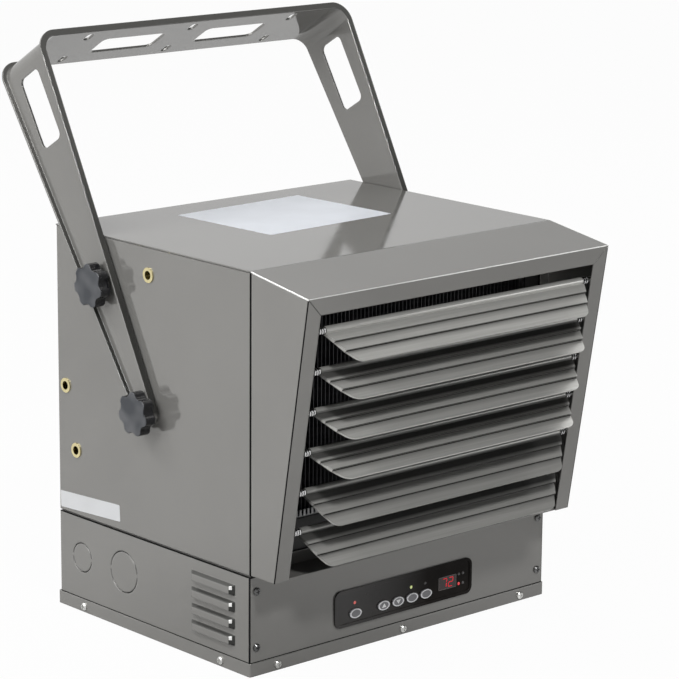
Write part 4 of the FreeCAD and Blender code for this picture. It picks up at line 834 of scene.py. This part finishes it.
def studio_floor():
    """Pale floor, nearly white to the camera but with the heater's shadow; reflections find it whitest behind the
    heater and in a strip in front to the right."""
    mesh = bpy.data.meshes.new("floor")
    corners = [(x * FLOOR_REACH, y * FLOOR_REACH, -FLOOR_DROP) for x, y in ((-1, -1), (1, -1), (1, 1), (-1, 1))]
    mesh.from_pydata(corners, [], [(0, 1, 2, 3)])
    floor = bpy.data.objects.new("floor", mesh)
    scene.collection.objects.link(floor)
    mat, tree, shader = new_material("floor")
    point = object_point(tree)
    mottled(tree, shader, noise(tree, point, scale=3, detail=2), FLOOR_GREY, spread=0.01)
    shader.inputs["Roughness"].default_value = 0.9
    white = add(tree, "ShaderNodeEmission", Strength=1.0)
    mix = add(tree, "ShaderNodeMixShader")
    axes = split_axes(tree, point)
    behind = between(tree, axes["Y"], *FLOOR_BEHIND)
    strip = both(tree, between(tree, axes["X"], *FLOOR_STRIP_START), between(tree, axes["X"], *FLOOR_STRIP_END))
    mirrored = calculated(tree, "ADD", behind, strip)
    tree.links.new(between(tree, seen_directly(tree, mirrored), 0, 1, 0, FLOOR_WHITE), mix.inputs["Fac"])
    tree.links.new(shader.outputs["BSDF"], mix.inputs[1])
    tree.links.new(white.outputs["Emission"], mix.inputs[2])
    tree.links.new(mix.outputs["Shader"], tree.nodes["Material Output"].inputs["Surface"])
    mesh.materials.append(mat)


def studio_world():
    """Dim surround, white to the camera; reflections find it pale behind and left, dark in front to the right."""
    world = bpy.data.worlds.new("studio")
    scene.world = world
    world.use_nodes = True
    tree = world.node_tree
    back = tree.nodes["Background"]
    back.inputs["Color"].default_value = (1, 1, 1, 1)
    towards = dot(tree, add(tree, "ShaderNodeTexCoord").outputs["Generated"], DARK_SIDE)
    mirrored = between(tree, towards, *DARK_FACING, SKY_MIRRORED, 0.0)
    tree.links.new(between(tree, seen_directly(tree, mirrored), 0, 1, AMBIENT, 1.0), back.inputs["Strength"])


def softbox(name, place, target, width, height, power):
    """Rectangular light that looks at its target."""
    light = bpy.data.lights.new(name, "AREA")
    light.shape = "RECTANGLE"
    light.size = width
    light.size_y = height
    light.energy = power
    obj = bpy.data.objects.new(name, light)
    scene.collection.objects.link(obj)
    obj.location = place
    obj.rotation_euler = (Vector(target) - Vector(place)).to_track_quat("-Z", "Y").to_euler()


def photo_camera():
    """Camera fitted to the photograph's straight edges: azimuth, elevation and roll, place and lens."""
    azimuth, elevation, roll = (math.radians(a) for a in CAMERA_ANGLES)
    flat = math.cos(elevation)
    back = Vector((math.sin(azimuth) * flat, -math.cos(azimuth) * flat, math.sin(elevation)))
    right = Vector(ALONG_Z).cross(back).normalized()
    up = back.cross(right)
    turned_right = right * math.cos(roll) + up * math.sin(roll)
    turned_up = up * math.cos(roll) - right * math.sin(roll)
    data = bpy.data.cameras.new("camera")
    data.sensor_width = CAMERA_SENSOR
    data.lens = CAMERA_LENS
    camera = bpy.data.objects.new("camera", data)
    scene.collection.objects.link(camera)
    turn = Matrix((turned_right, turned_up, back)).transposed().to_4x4()
    camera.matrix_world = Matrix.Translation(CAMERA_PLACE) @ turn
    scene.camera = camera


studio_floor()
studio_world()
for box in SOFTBOXES:
    softbox(*box)
photo_camera()
scene.view_settings.view_transform = "Standard"
